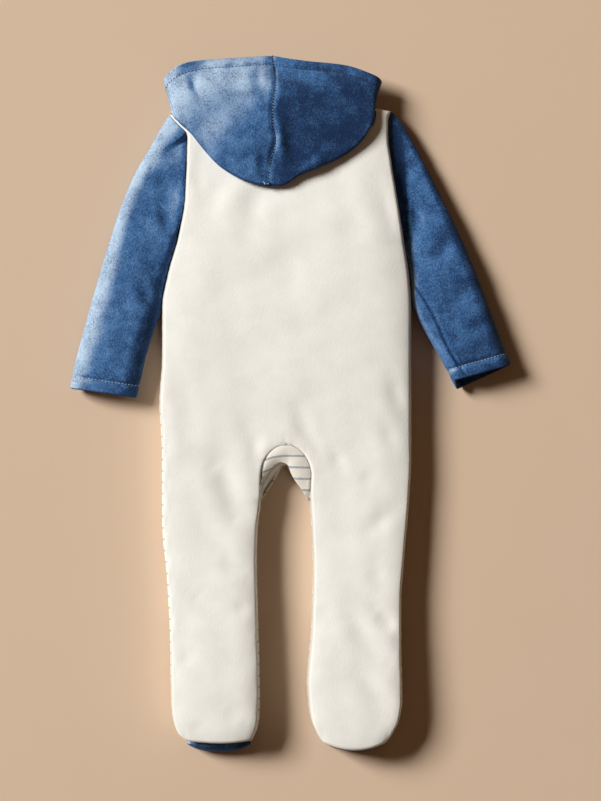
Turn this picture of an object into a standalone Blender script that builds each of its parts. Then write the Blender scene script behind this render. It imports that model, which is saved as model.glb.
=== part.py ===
"""A hooded, footed baby sleepsuit, laid flat on its front with its back up.

+X is to the right and +Y towards the hood, seen from above; +Z is up. The origin is the middle of the
suit's box, on the surface that it rests on. Sizes are in millimetres and become metres at the end.
Each cloth piece is one wall: a sheet of points on its outer face, and the same sheet moved inwards by
the cloth's thickness. Back and front are the upper and lower half of one soft body shape.
"""

import math

import bmesh
import bpy
import numpy as np
from mathutils import Vector

TO_METRES = 0.001

# ---- driving sizes ----
VELOUR = 2.0  # thickness of the pile cloth: back, sleeves, hood and soles
JERSEY = 1.6  # thickness of the striped cloth: fronts, gusset and foot uppers
SEAM_GAP = 0.4  # between two pieces along a seam
GUSSET_GAP = 0.9  # the same, along the curved seams of the gusset
TOUCH_GAP = 1.2  # between a sleeve and the side that it lies against
LAY_GAP = 1.6  # between the hood and the back that it lies on

CENTRE_X = -4.3  # the body's middle line
SEAM_Z = 12.0  # height of the side and shoulder seams
ROLL = 14.0  # width of the rolled edge of the upper side
SOFT_ROLL = 48.0  # width over which the upper side still swells a little
SOFT_SHARE = 0.18  # share of the height that the swell adds
UNDER_ROLL = 12.0  # width of the rolled edge of the underside

UNDERARM_Y = 150.0
ARMHOLE_OPEN = 0.65  # how far the armhole stands open, as a share of the body's height
ARMHOLE_POWER = 0.7  # under 1, the armhole opens quickly at its ends
NECK_HALF = 46.0
NECK_OPEN = 0.8
BACK_NECK_DROP = 7.0
FRONT_NECK_DROP = 28.0

FORK_Y = -70.0  # the crotch arch of the back is the upper half of an ellipse round this height
FORK_HALF = 23.5
FORK_RISE = 30.0
FORK_TOP_OPEN = 0.65
NOTCH_PAST = 4.0  # above its point the front counts as this far from the notch
CENTRE_RUN = 60.0  # over this the middle of the arch passes into the body's middle line

LEG_END_FROM_Y = -288.0  # below this the rows bend to follow the heel
HEEL_OPEN = 0.32  # how high the heel seam stands, as a share of the leg's height
FRONT_SHORT = 6.0  # the front of the leg ends this far before the heel seam

PLACKET_HALF = 11.0
PLACKET_Z = 1.3  # its height over the inside of the fronts
PLACKET_BESIDE_X = CENTRE_X - PLACKET_HALF - 1  # where the height of the front is taken
PLACKET_TOP_Y = 252.0
PLACKET_END_Y = -50.0
POPPER_COUNT = 7
POPPER_RADIUS = 5.0
POPPER_THICK = 0.9
POPPER_BEVEL = 0.4
POPPER_EDGE_Z = 0.3
POPPER_FIRST_Y = 238.0
POPPER_LAST_Y = -38.0


def table(columns, *rows):
    """A short table as {column: array}, with a row for each section."""
    return {name: np.array([row[i] for row in rows], float) for i, name in enumerate(columns.split())}


# Half outlines seen from above, from the foot up. The armhole is the part above the underarm.
LEFT_SIDE = table(
    "y x",
    (-320, -98), (-311, -107), (-298, -111.5), (-280, -113), (-225, -114), (-168, -117),
    (-112, -121.6), (-45, -121.8), (2, -124), (40, -121.6), (90, -121.4), (121, -116),
    (159, -105.5), (192, -99.5), (226, -98), (250, -97.5), (262, -107), (272.2, -115.4),
)
RIGHT_SIDE = table(
    "y x",
    (-321, 90.7), (-311, 98), (-298, 103.5), (-280, 106), (-225, 105), (-190, 105),
    (-140, 108.5), (-85, 113), (-50, 114.5), (90, 114.5), (116, 113), (154, 107.4),
    (192, 101.2), (230, 95), (253, 92.4), (268, 92.6), (276, 95.5),
)
INNER_LEFT = table(
    "y x",
    (-320, -36), (-310, -32), (-298, -29.5), (-275, -29), (-192, -30.9), (-150, -31.8),
    (-120, -31), (-92, -27.8), (-70, -27.5),
)
INNER_RIGHT = table(
    "y x",
    (-322, 31), (-310, 23.7), (-298, 19), (-285, 16.9), (-264, 15.7), (-215, 19.5),
    (-156, 21.1), (-122, 20.1), (-92, 18.5), (-70, 19.5),
)
# The front's crotch is a notch that the gusset reaches down to.
NOTCH = table(
    "y left right",
    (-94, -28.0, 18.6), (-86, -22.5, 14.0), (-76, -16.0, 6.0), (-67, -11.0, 1.5), (-61.5, -7.5, -3.5),
)
# Height of the back's top over the surface, and of the front's underside, which the folded feet lift.
HEIGHTS = table(
    "y crown floor",
    (-330, 30, 4.8), (-260, 29, 4.8), (-219, 28, 4.8), (-196, 27.5, 0), (-100, 28, 0), (-30, 29, 0),
    (60, 30, 0), (160, 28.5, 0), (215, 25.5, 0), (285, 23.5, 0),
)
SHOULDER = table("x y", (-115.4, 272.2), (-50.3, 281.7), (41.7, 284.5), (95.5, 276))
HEELS = {
    "left": {"edge_y": -319.5, "bow": 2.5, "middle_x": -67.0, "half": 31.0},
    "right": {"edge_y": -321.0, "bow": 7.5, "middle_x": 61.0, "half": 30.0},
}


# Where the points of the cloth lie: shares of a width or an armhole, and rows by their height on the body.
HALF_SHARES = (0.0, 0.02, 0.06, 0.13, 0.24, 0.42, 0.6, 0.78, 0.9, 0.965, 1.0)
ARM_SHARES = (0.0, 0.05, 0.16, 0.32, 0.5, 0.68, 0.84, 0.95, 1.0)
LEG_ROWS = (-317.5, -314, -308, -300, -288, -262, -234, -218, -204, -180, -145, -115)
ROW_APART = 1.5  # a row this near the heel's edge is left out
ARCH_ANGLES = (0, 18, 36, 54, 72, 90)
FORK_ROWS = (-94.0, -82.0) + tuple(FORK_Y + FORK_RISE * math.sin(math.radians(a)) for a in ARCH_ANGLES)
TRUNK_ROWS = (-15.0, 20.0, 60.0, 98.0, 126.0)
PLACKET_ROW = (-54.0,)  # a row of the front just under the placket
PLACKET_ROWS = (PLACKET_END_Y, -30.0, 30.0, 90.0, 150.0, 200.0, 232.0, 244.0, PLACKET_TOP_Y)
ARCH_MIDDLE = (INNER_LEFT["x"][-1] + INNER_RIGHT["x"][-1]) / 2
ROUND = tuple(math.radians(a) for a in range(0, 360, 30))

NAN = math.nan
# Rings of the sleeves from the shoulder to the cuff: the outer and the inner end, seen from above, the
# height, and how far the cuff's upper edge stands back. An inner end with no x lies against the side.
SLEEVES = {
    "left": table(
        "ox oy ix iy top lip",
        (-124.5, 256, NAN, 136, 25.5, 0), (-139, 230, NAN, 121, 27, 0), (-157, 194, NAN, 105, 27.5, 0),
        (-172, 151, NAN, 89, 27, 0), (-185, 107, -129.5, 67, 26, 0), (-197, 64.5, -136.5, 45, 25, 0),
        (-205, 33, -142, 21, 23.5, 0), (-208.5, 14, -146, 5, 22, 0),
    ),
    "right": table(
        "ox oy ix iy top lip",
        (105, 265, NAN, 137, 25.5, 0), (117, 245, NAN, 124, 27, 0), (134, 212, NAN, 109, 27.5, 0),
        (152, 177, NAN, 94, 27, 0), (169, 140, 121, 79, 26, 0), (184, 102, 131.5, 60, 25, 1),
        (197, 67, 144, 38, 24, 4), (208.8, 36.5, 157.5, 13, 23, 9),
    ),
}
SLEEVE_ROLL = 17.0
LIP_ACROSS = 0.4  # which way the upper edge of a cuff stands back
LIP_ALONG = 0.9

FEET = {
    "left": {"middle_x": -67.5, "half": 30.0, "bulge": 8.5, "toe_y": -224.0, "round": 16.0},
    "right": {"middle_x": 60.5, "half": 29.0, "bulge": 1.6, "toe_y": -226.0, "round": 16.0},
}
SOLE_SHARES = (-1.0, -0.85, -0.5, 0.0, 0.5, 0.85, 1.0)
SOLE_SLOPE = 0.12  # share of its height that the end of the sole loses towards its sides
SOLE_ROUND = 0.5  # share of its bulge that it loses there
SOLE_EDGE_RISE = 0.6  # how far the sides of the sole stand off the floor
SOLE_START = 4.0  # from the heel to where the sole lies flat
INSTEP_START = 9.0  # the same, for the upper that lies on the sole
INSTEP_INSIDE = 2.0  # how much narrower than the sole the upper is on each side
INSTEP_LIFT = 1.0  # between the sole and the upper
INSTEP_THICK = 1.2
INSTEP_RUNS = (0.0, 0.25, 0.5, 0.75, 0.92)
# The sole's run: how far past the heel seam, how far along the underside, and its height.
SOLE_PATH = table(
    "past run z",
    (0, 0, 18), (0.55, 0, 15.5), (0.9, 0, 12), (1.0, 0, 8), (0.75, 0, 4), (0.4, 0, 1.6),
    (0, 0, 0), (0, 0.25, 0), (0, 0.5, 0), (0, 0.75, 0), (0, 1, 0),
)

# Sections of the hood from its middle seam to the throat: the neck, the lower fold and the edge of the
# opening. back says on which neckline the section starts, loft how much the upper layer stands up.
HOODS = {
    "left": table(
        "nx back fx fy fz half ox oy oz loft",
        (-4.6, 1, -21.2, 206, 30.4, 3.4, -17.2, 330, 35.5, 3),
        (-8.2, 1, -32, 207.5, 30.4, 3.4, -30, 329.5, 35.3, 3.1),
        (-15.4, 1, -46, 212, 30.4, 3.4, -46, 328.5, 34.6, 3.3),
        (-27.6, 1, -66, 224, 30.4, 3.4, -66, 327.5, 33, 3.1),
        (-38, 1, -84, 240, 30.0, 3.4, -88, 326, 30.5, 2.5),
        (-46.5, 1, -98, 255.5, 29, 3.4, -105, 322, 27, 1.5),
        (-50.3, 1, -110, 269, 24.5, 3.6, -113, 316.5, 23, 0),
        (-46.5, 0, -116.5, 281, 16, 4, -118.5, 311, 15, 0),
        (-38, 0, -118, 291, 9, 4, -119, 304.5, 9, 0),
        (-27.6, 0, -92, 292, 5, 1.5, -100, 298, 5.5, 0),
        (-20, 0, -58, 284, 4, 1.2, -66, 290, 4.5, 0),
        (-12, 0, -28, 276, 4, 1.0, -32, 280, 4.2, 0),
        (-5.4, 0, -5.4, 268, 4, 0.3, -5.4, 272, 4.2, 0),
    ),
    "right": table(
        "nx back fx fy fz half ox oy oz loft",
        (-4.2, 1, -20.8, 206, 30.4, 3.4, -16.8, 330, 35.5, 3),
        (0, 1, -8, 209, 30.4, 3.4, 0, 326.5, 35.3, 3.1),
        (8, 1, 9, 216, 30.4, 3.4, 16, 324.5, 34.6, 3.3),
        (19, 1, 29, 224, 30.4, 3.4, 36, 323.5, 33, 3.1),
        (29, 1, 48, 233, 30.0, 3.4, 56, 320.5, 30.5, 2.5),
        (37.5, 1, 65, 245.5, 29, 3.4, 72, 314.5, 27, 1.5),
        (41.7, 1, 77, 264, 28.5, 3.6, 82, 310, 24, 0),
        (37.5, 0, 84, 284.5, 22.5, 4, 87.5, 306, 16, 0),
        (29, 0, 86.5, 289, 10, 4, 89, 302, 9, 0),
        (19, 0, 74, 293, 5, 1.5, 80, 298, 5.5, 0),
        (11, 0, 46, 288, 4, 1.2, 52, 292, 4.5, 0),
        (3, 0, 18, 280, 4, 1.0, 22, 284, 4.2, 0),
        (-3.4, 0, -3.4, 268, 4, 0.3, -3.4, 272, 4.2, 0),
    ),
}
HOOD_GAP = 1.0
NECK_STEP = (0.0, 2.5, 0.3)  # from the neck seam to where the hood starts to turn
NECK_TURN = (0.0, 3.6, 2.5)  # and to where it has turned back over the body
UNDER_SHARES = (0.0, 0.12, 0.3, 0.5, 0.7, 0.86)
FOLD_ANGLES = (-90, -50, -15, 15, 50, 90)
FOLD_BACK = 0.4  # share of the fold's half thickness that lies past the fold line
FOLD_FULL = 1.2  # how round the fold is
UPPER_SHARES = (0.12, 0.28, 0.46, 0.66, 0.84, 0.95, 1.0)
LOFT_RUN = 1.15  # the loft ends a little before the opening's edge
LOFT_POWER = 0.8
SHOULDER_OVERLAP = 4.0  # how far past the shoulder line the under layer still rests on the back
UNDER_STEPS = (0, 4, 8)
FRONT_CLEAR = 1.5


def curve(rows, column, at, along="y"):
    """A smooth line through a table's rows that never swings past them."""
    xs, ys = rows[along], rows[column]
    step, rise = np.diff(xs), np.diff(ys) / np.diff(xs)
    slope = np.concatenate([rise[:1], np.zeros(len(xs) - 2), rise[-1:]])
    for i in range(1, len(xs) - 1):
        if rise[i - 1] * rise[i] > 0:
            near, far = 2 * step[i] + step[i - 1], step[i] + 2 * step[i - 1]
            slope[i] = (near + far) / (near / rise[i - 1] + far / rise[i])
    at = np.clip(at, xs[0], xs[-1])
    i = np.clip(np.searchsorted(xs, at) - 1, 0, len(xs) - 2)
    t = (at - xs[i]) / step[i]
    return (
        ys[i] * (1 + 2 * t) * (1 - t) ** 2
        + ys[i + 1] * (3 - 2 * t) * t**2
        + step[i] * t * (1 - t) * (slope[i] * (1 - t) - slope[i + 1] * t)
    )


def mix(a, b, share):
    return a + (b - a) * share


def rolled(distance, width):
    """0 at an edge and 1 past its rolled width, on a quarter circle."""
    q = np.clip(distance / width, 0.0, 1.0)
    return np.sqrt(q * (2 - q))


def swell(distance):
    """How much of its height the upper side has, this far in from a seam."""
    return (1 - SOFT_SHARE) * rolled(distance, ROLL) + SOFT_SHARE * rolled(distance, SOFT_ROLL)


def neck_share(x):
    """1 in the middle of the neck and 0 at its sides and beyond."""
    return np.clip(1 - ((x - CENTRE_X) / NECK_HALF) ** 2, 0.0, 1.0)


def shoulder_y(x, neck_drop):
    """The shoulder line with the neck cut into it."""
    line = np.interp(x, SHOULDER["x"], SHOULDER["y"])
    return line - neck_drop * neck_share(x)


def heel_y(side, x):
    heel = HEELS[side]
    return heel["edge_y"] - heel["bow"] * np.clip(1 - ((x - heel["middle_x"]) / heel["half"]) ** 2, 0, 1)


def armhole_share(y, shoulder):
    """0 at the underarm and the shoulder, 1 in the middle of the armhole."""
    q = np.clip((y - UNDERARM_Y) / (shoulder - UNDERARM_Y), 0.0, 1.0)
    return math.sin(math.pi * q) ** ARMHOLE_POWER if 0 < q < 1 else 0.0


def fork_distance(side, x, y):
    """How far a point of the back is from the crotch arch or the inner leg."""
    if y < FORK_Y:
        return curve(INNER_LEFT, "x", y) - x if side == "left" else x - curve(INNER_RIGHT, "x", y)
    return (math.hypot((x - ARCH_MIDDLE) / FORK_HALF, (y - FORK_Y) / FORK_RISE) - 1) * FORK_HALF


def notch_distance(side, x, y):
    """The same for the front, whose crotch is lower."""
    if y < NOTCH["y"][0]:
        return fork_distance(side, x, y)
    if y > NOTCH["y"][-1]:
        return y - NOTCH["y"][-1] + NOTCH_PAST
    return curve(NOTCH, "left", y) - x if side == "left" else x - curve(NOTCH, "right", y)


def fullness(side, x, y, upper):
    """0 where back and front meet in a seam, and 1 where they stand furthest apart."""
    rise = swell if upper else (lambda distance: rolled(distance, UNDER_ROLL))
    arm = 1 - ARMHOLE_OPEN * armhole_share(y, SHOULDER["y"][0 if side == "left" else -1])
    neck = 1 - NECK_OPEN * neck_share(x) ** 0.5
    drop = BACK_NECK_DROP if upper else FRONT_NECK_DROP
    fork_from = FORK_Y + FORK_RISE if upper else NOTCH["y"][-1]
    fork_open = FORK_TOP_OPEN * np.clip((y - NOTCH["y"][0]) / (fork_from - NOTCH["y"][0]), 0, 1)
    inner = fork_distance(side, x, y) if upper else notch_distance(side, x, y)
    heel_gap = 0.0 if upper else FRONT_SHORT
    heel_open = HEEL_OPEN if upper else 0.0
    share = 1 - (1 - heel_open) * (1 - rise(y - heel_y(side, x) - heel_gap))
    share *= 1 - arm * (1 - rise(x - curve(LEFT_SIDE, "x", y)))
    share *= 1 - arm * (1 - rise(curve(RIGHT_SIDE, "x", y) - x))
    share *= 1 - neck * (1 - rise(shoulder_y(x, drop) - y))
    return share * (1 - (1 - fork_open) * (1 - rise(inner)))


def back_z(side, x, y):
    """The outer face of the back over the surface."""
    low = SEAM_Z + SEAM_GAP / 2
    return low + (curve(HEIGHTS, "crown", y) - low) * fullness(side, x, y, True)


def front_z(side, x, y):
    """The outer face of the front over the surface."""
    high = SEAM_Z - SEAM_GAP / 2
    return high - (high - curve(HEIGHTS, "floor", y)) * fullness(side, x, y, False)


# ---- walls ----


class Sheet:
    """The outer face of one cloth piece, as points and faces, with the edges that meet other pieces."""

    def __init__(self, flip=False):
        self.points, self.faces, self.seams, self.flip = [], [], {}, flip
        self.found = {}

    def point(self, place, seam=None):
        """The number of the point here. seam is the way across the seam that the point lies on."""
        key = tuple(round(float(v), 4) for v in place)
        if key not in self.found:
            self.found[key] = len(self.points)
            self.points.append(Vector(key))
        if seam is not None:
            self.seams.setdefault(self.found[key], Vector(seam).normalized())
        return self.found[key]

    def face(self, *corners):
        ring = [c for i, c in enumerate(corners) if c != corners[i - 1]]
        if len(ring) > 2:
            self.faces.append(ring[::-1] if self.flip else ring)

    def grid(self, rows, seam_of=lambda row, column: None, closed=False):
        """Joins rows of places that have as many points each."""
        numbers = [[self.point(p, seam_of(r, c)) for c, p in enumerate(row)] for r, row in enumerate(rows)]
        width = len(rows[0])
        for a, b in zip(numbers, numbers[1:]):
            for c in range(width if closed else width - 1):
                d = (c + 1) % width
                self.face(a[c], a[d], b[d], b[c])
        return self

    def wall(self, name, thickness, material):
        """The closed wall: this sheet, the same sheet moved inwards, and the rim between them."""
        mesh = bmesh.new()
        outer = [mesh.verts.new(p) for p in self.points]
        for face in self.faces:
            mesh.faces.new([outer[i] for i in face])
        mesh.normal_update()
        loops = [e.link_loops[0] for e in mesh.edges if len(e.link_loops) == 1]
        rim = [(loop.vert, loop.link_loop_next.vert) for loop in loops]
        inner = {}
        for number, vertex in enumerate(outer):
            way = -vertex.normal
            if number in self.seams:
                across = self.seams[number]
                level = way - across * way.dot(across)
                way = level.normalized() if level.length > 0.05 else way
            inner[vertex] = mesh.verts.new(vertex.co + way * thickness)
        for face in self.faces:
            mesh.faces.new([inner[outer[i]] for i in reversed(face)])
        for a, b in rim:
            mesh.faces.new([b, a, inner[a], inner[b]])
        return solid(name, mesh, material)


def solid(name, mesh, material):
    """Turns a closed bmesh in millimetres into a piece in metres."""
    for vertex in mesh.verts:
        vertex.co *= TO_METRES
    data = bpy.data.meshes.new(name)
    mesh.to_mesh(data)
    mesh.free()
    data.shade_smooth()
    data.set_sharp_from_angle(angle=math.radians(40))
    data.materials.append(material)
    piece = bpy.data.objects.new(name, data)
    bpy.context.scene.collection.objects.link(piece)
    return piece


def cloth(name, colour, roughness=0.9):
    """A plain finish: a colour in linear light and a roughness."""
    material = bpy.data.materials.new(name)
    material.use_nodes = True
    shader = material.node_tree.nodes["Principled BSDF"]
    shader.inputs["Base Color"].default_value = (*colour, 1.0)
    shader.inputs["Roughness"].default_value = roughness
    return material


# ---- back and fronts ----

def side_x(side, y):
    return curve(LEFT_SIDE if side == "left" else RIGHT_SIDE, "x", y)


def outwards(side):
    return -1.0 if side == "left" else 1.0


def shoulder_top(side):
    return SHOULDER["y"][0 if side == "left" else -1]


def fork_x(side, y):
    """The inner edge of the back's leg, the crotch arch, or the middle line above it."""
    top = FORK_Y + FORK_RISE
    if y >= top - 1e-6:
        return mix(ARCH_MIDDLE, CENTRE_X, min((y - top) / CENTRE_RUN, 1.0))
    if y >= FORK_Y:
        return ARCH_MIDDLE + outwards(side) * FORK_HALF * math.sqrt(1 - ((y - FORK_Y) / FORK_RISE) ** 2)
    return curve(INNER_LEFT if side == "left" else INNER_RIGHT, "x", y)


def notch_row(y):
    """The height on the front's notch that a height on the back's arch is sewn to."""
    return mix(NOTCH["y"][0], NOTCH["y"][-1], (y - FORK_ROWS[0]) / (FORK_ROWS[-1] - FORK_ROWS[0]))


def front_x(side, y):
    """The inner edge of the front's leg, the notch, or the edge beside the placket."""
    if y > NOTCH["y"][-1] + 1e-6:
        return CENTRE_X + outwards(side) * (PLACKET_HALF + SEAM_GAP)
    return curve(NOTCH, side, y) if y >= NOTCH["y"][0] else fork_x(side, y)


def fork_place(side, y):
    x = fork_x(side, y)
    return Vector((x, y, back_z(side, x, y)))


def notch_place(side, y):
    at = notch_row(y)
    x = front_x(side, at)
    return Vector((x, at, front_z(side, x, at)))


def half_rows(side, upper):
    """The rows of one half of the back or the front, from heel to shoulder and from side to middle."""
    drop = BACK_NECK_DROP if upper else FRONT_NECK_DROP
    short = 0.0 if upper else FRONT_SHORT
    edge = HEELS[side]["edge_y"] + short
    fork = FORK_ROWS if upper else [notch_row(y) for y in FORK_ROWS]
    trunk = TRUNK_ROWS if upper else PLACKET_ROW + TRUNK_ROWS
    plain = [edge] + [y for y in LEG_ROWS if y > edge + ROW_APART] + list(fork) + list(trunk)
    rows = []
    for y in plain:
        low = np.clip((LEG_END_FROM_Y - y) / (LEG_END_FROM_Y - edge), 0.0, 1.0)
        ends = side_x(side, y), fork_x(side, y) if upper else front_x(side, y)
        xs = [mix(*ends, share) for share in HALF_SHARES]
        rows.append([(x, y + low * (heel_y(side, x) - HEELS[side]["edge_y"])) for x in xs])
    for share in ARM_SHARES:
        y = mix(UNDERARM_Y, shoulder_top(side), share)
        ends = side_x(side, y), CENTRE_X if upper else front_x(side, y)
        xs = [mix(*ends, s) for s in HALF_SHARES]
        rows.append([(x, mix(UNDERARM_Y, shoulder_y(x, drop), share)) for x in xs])
    height = back_z if upper else front_z
    return [[(x, y, height(side, x, y)) for x, y in row] for row in rows]


def panel(sheet, side, upper):
    """Adds one half of the back or the front to a sheet, with the ways across its seams."""
    rows = half_rows(side, upper)
    first_arm = len(rows) - len(ARM_SHARES)
    first_fork = first_arm - len(TRUNK_ROWS) - len(FORK_ROWS) - (0 if upper else len(PLACKET_ROW))
    last = len(HALF_SHARES) - 1

    def seam_of(row, column):
        if row == len(rows) - 1:
            return (0, 1, 0) if neck_share(rows[row][column][0]) > 0.1 else (0, 0, 1)
        if column == 0:
            return (1, 0, 0) if first_arm < row < len(rows) - 1 else (0, 0, 1)
        if column == last and row < first_fork + len(FORK_ROWS):
            if row < first_fork:
                return (0, 0, 1)
            y = FORK_ROWS[row - first_fork]
            return notch_place(side, y) - fork_place(side, y)
        if row == 0:
            return (0, 0, 1)
        return None

    sheet.flip = (side == "right") == upper
    sheet.grid(rows, seam_of)


def crotch_gusset(material):
    """The band between the back's arch and the front's notch."""
    route = [("left", y) for y in FORK_ROWS] + [("right", y) for y in reversed(FORK_ROWS[:-1])]
    rows = []
    for side, y in route[1:-1]:
        start, end = fork_place(side, y), notch_place(side, y)
        across = (end - start).normalized()
        start, end = start + across * GUSSET_GAP, end - across * GUSSET_GAP
        rows.append(([start.lerp(end, t) for t in (0.0, 0.33, 0.67, 1.0)], across))
    sheet = Sheet(flip=True)
    sheet.grid([row for row, _ in rows], lambda r, c: rows[r][1] if c in (0, 3) else None)
    return sheet.wall("crotch_gusset", JERSEY, material)


def placket(material):
    """The strip behind the front opening, sewn to both fronts and open between them."""
    rows = []
    for y in PLACKET_ROWS:
        xs = [CENTRE_X + PLACKET_HALF * t for t in (-1.0, 0.0, 1.0)]
        rows.append([(x, y, front_z("left", PLACKET_BESIDE_X, y) + PLACKET_Z) for x in xs])
    return Sheet(flip=True).grid(rows).wall("placket", JERSEY, material)


def popper(number, material):
    """The cap of one press stud, a low round button under the placket."""
    y = mix(POPPER_FIRST_Y, POPPER_LAST_Y, (number - 1) / (POPPER_COUNT - 1))
    low = front_z("left", PLACKET_BESIDE_X, y)
    mesh = bmesh.new()
    rings = [
        [mesh.verts.new((CENTRE_X + r * math.cos(a), y + r * math.sin(a), low + z)) for a in ROUND]
        for r, z in (
            (POPPER_RADIUS - POPPER_BEVEL, 0.0),
            (POPPER_RADIUS, POPPER_EDGE_Z),
            (POPPER_RADIUS, POPPER_THICK),
        )
    ]
    for lower, upper in zip(rings, rings[1:]):
        for i in range(len(ROUND)):
            mesh.faces.new([lower[i - 1], lower[i], upper[i], upper[i - 1]])
    mesh.faces.new(rings[0][::-1])
    mesh.faces.new(rings[-1])
    return solid(f"popper_{number}", mesh, material)


# ---- sleeves ----


def sleeve_rings(side):
    """Closed rings from the armhole to the cuff, each from the inner seam over the top and back."""
    rows, way = SLEEVES[side], outwards(side)
    first_top, first_under = [], []
    for share in ARM_SHARES:
        y = mix(UNDERARM_Y, shoulder_top(side), share)
        x = side_x(side, y)
        first_top.append((x + way * SEAM_GAP, y, back_z(side, x, y)))
        first_under.append((x + way * SEAM_GAP, y, front_z(side, x, y)))
    rings = [first_top + first_under[-2:0:-1]]
    for i in range(len(rows["ox"])):
        outer = Vector((rows["ox"][i], rows["oy"][i], 0))
        inner = Vector((rows["ix"][i], rows["iy"][i], 0))
        if np.isnan(inner.x):
            inner.x = side_x(side, inner.y) + way * TOUCH_GAP
        width, top = (outer - inner).length, rows["top"][i]
        back = Vector((-way * LIP_ACROSS, LIP_ALONG, 0)) * rows["lip"][i]
        upper, under = [], []
        for share in ARM_SHARES:
            place = inner.lerp(outer, share)
            rise = rolled(min(share, 1 - share) * width, SLEEVE_ROLL)
            above = place + back * (1 - share) * min(rise * 2, 1)
            upper.append((*above.xy, SEAM_Z + (top - SEAM_Z) * rise))
            under.append((*place.xy, SEAM_Z - SEAM_Z * rise))
        rings.append(upper + under[-2:0:-1])
    return rings


def sleeve(side, material):
    last = len(ARM_SHARES) - 1

    def seam_of(row, column):
        if row == 0:
            return (0, 0, 1) if column in (0, last) else (1, 0, 0)
        return None

    sheet = Sheet(flip=side == "right").grid(sleeve_rings(side), seam_of, closed=True)
    return sheet.wall(f"sleeve_{side}", VELOUR, material)


# ---- feet ----


def sole(side, material):
    """The sole, from the heel seam round the end of the foot and then under the folded leg."""
    foot, heel = FEET[side], HEELS[side]
    rows = []
    for i in range(len(SOLE_PATH["past"])):
        past, low, height = (SOLE_PATH[name][i] for name in ("past", "run", "z"))
        row = []
        for share in SOLE_SHARES:
            x = foot["middle_x"] + foot["half"] * share
            seam = heel_y(side, x)
            if height > 1:
                top = back_z(side, x, seam) - 2 * SEAM_GAP
                z = min(height * (1 - SOLE_SLOPE * share**4), top) if i else top
                y = seam - SEAM_GAP - foot["bulge"] * past * (1 - SOLE_ROUND * share**4)
            else:
                z = SOLE_EDGE_RISE * abs(share) ** 6
                y = mix(heel["edge_y"] + SOLE_START, foot["toe_y"], low) - foot["round"] * low * share**4
            row.append((x, y, z))
        rows.append(row)
    sheet = Sheet(flip=True).grid(rows, lambda r, c: (0, 0, 1) if r == 0 else None)
    return sheet.wall(f"sole_{side}", VELOUR, material)


def instep(side, material):
    """The upper of the folded foot, flat between the sole and the leg."""
    foot, heel = FEET[side], HEELS[side]
    rows = []
    for low in INSTEP_RUNS:
        row = []
        for share in SOLE_SHARES:
            x = foot["middle_x"] + (foot["half"] - INSTEP_INSIDE) * share
            y = mix(heel["edge_y"] + INSTEP_START, foot["toe_y"], low) - foot["round"] * low * share**4
            row.append((x, y, VELOUR + INSTEP_LIFT))
        rows.append(row)
    return Sheet(flip=True).grid(rows).wall(f"instep_{side}", INSTEP_THICK, material)


# ---- hood ----


def hood_sections(side):
    """For each section the places from the neck, round the lower fold, to the opening's edge."""
    rows, way = HOODS[side], outwards(side)
    sections = []
    for i in range(len(rows["nx"])):
        nx, fold_x, fold_y, fold_z, open_x, open_y, open_z, loft, half = (
            rows[name][i] for name in ("nx", "fx", "fy", "fz", "ox", "oy", "oz", "loft", "half")
        )
        behind = rows["back"][i] > 0
        drop = BACK_NECK_DROP if behind else FRONT_NECK_DROP
        ny = shoulder_y(nx, drop)
        nz = back_z(side, nx, ny) if behind else front_z(side, nx, ny)
        neck = Vector((nx, ny + HOOD_GAP, nz))
        fold = Vector((fold_x, fold_y, fold_z))
        end = Vector((open_x, open_y, open_z))
        path = [neck, neck + Vector(NECK_STEP)]
        turned = neck + Vector(NECK_TURN)
        for t in UNDER_SHARES:
            place = turned.lerp(fold - Vector((0, 0, half)), t)
            place.z = mix(turned.z, fold.z - half, t ** 0.5 if behind else t)
            path.append(place)
        out = (fold - end).normalized() if behind else Vector((way, 0, 0))
        flat = Vector((out.x, out.y, 0)).normalized()
        for angle in FOLD_ANGLES:
            a = math.radians(angle)
            aside = flat * (math.cos(a) - FOLD_BACK) * half * FOLD_FULL
            path.append(fold + aside + Vector((0, 0, math.sin(a) * half)))
        start = fold + Vector((0, 0, half)) - flat * half
        for t in UPPER_SHARES:
            place = start.lerp(end, t)
            place.z += loft * math.sin(math.pi * min(t * LOFT_RUN, 1.0)) ** LOFT_POWER
            path.append(place)
        sections.append(lifted(side, path) if behind else moved_up(path))
    return sections


def lifted(side, path):
    """Lifts the under layer off the back."""
    for place in path[3:]:
        if place.y < shoulder_y(place.x, BACK_NECK_DROP) + SHOULDER_OVERLAP:
            inside = min(max(place.x, side_x("left", place.y)), side_x("right", place.y))
            under = max(back_z(side, inside, place.y - step) for step in UNDER_STEPS)
            place.z = max(place.z, under + LAY_GAP)
    return path


def moved_up(path):
    """Keeps the front of the hood clear of the shoulder line and the neck of the fronts."""
    for place in path[1:]:
        place.y = max(place.y, shoulder_y(place.x, FRONT_NECK_DROP) + HOOD_GAP + FRONT_CLEAR)
    return path


def hood(side, material):
    rows = hood_sections(side)
    last = len(rows) - 1
    sheet = Sheet(flip=side == "right").grid(rows, lambda r, c: (1, 0, 0) if r in (0, last) else None)
    return sheet.wall(f"hood_{side}", VELOUR, material)


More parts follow.
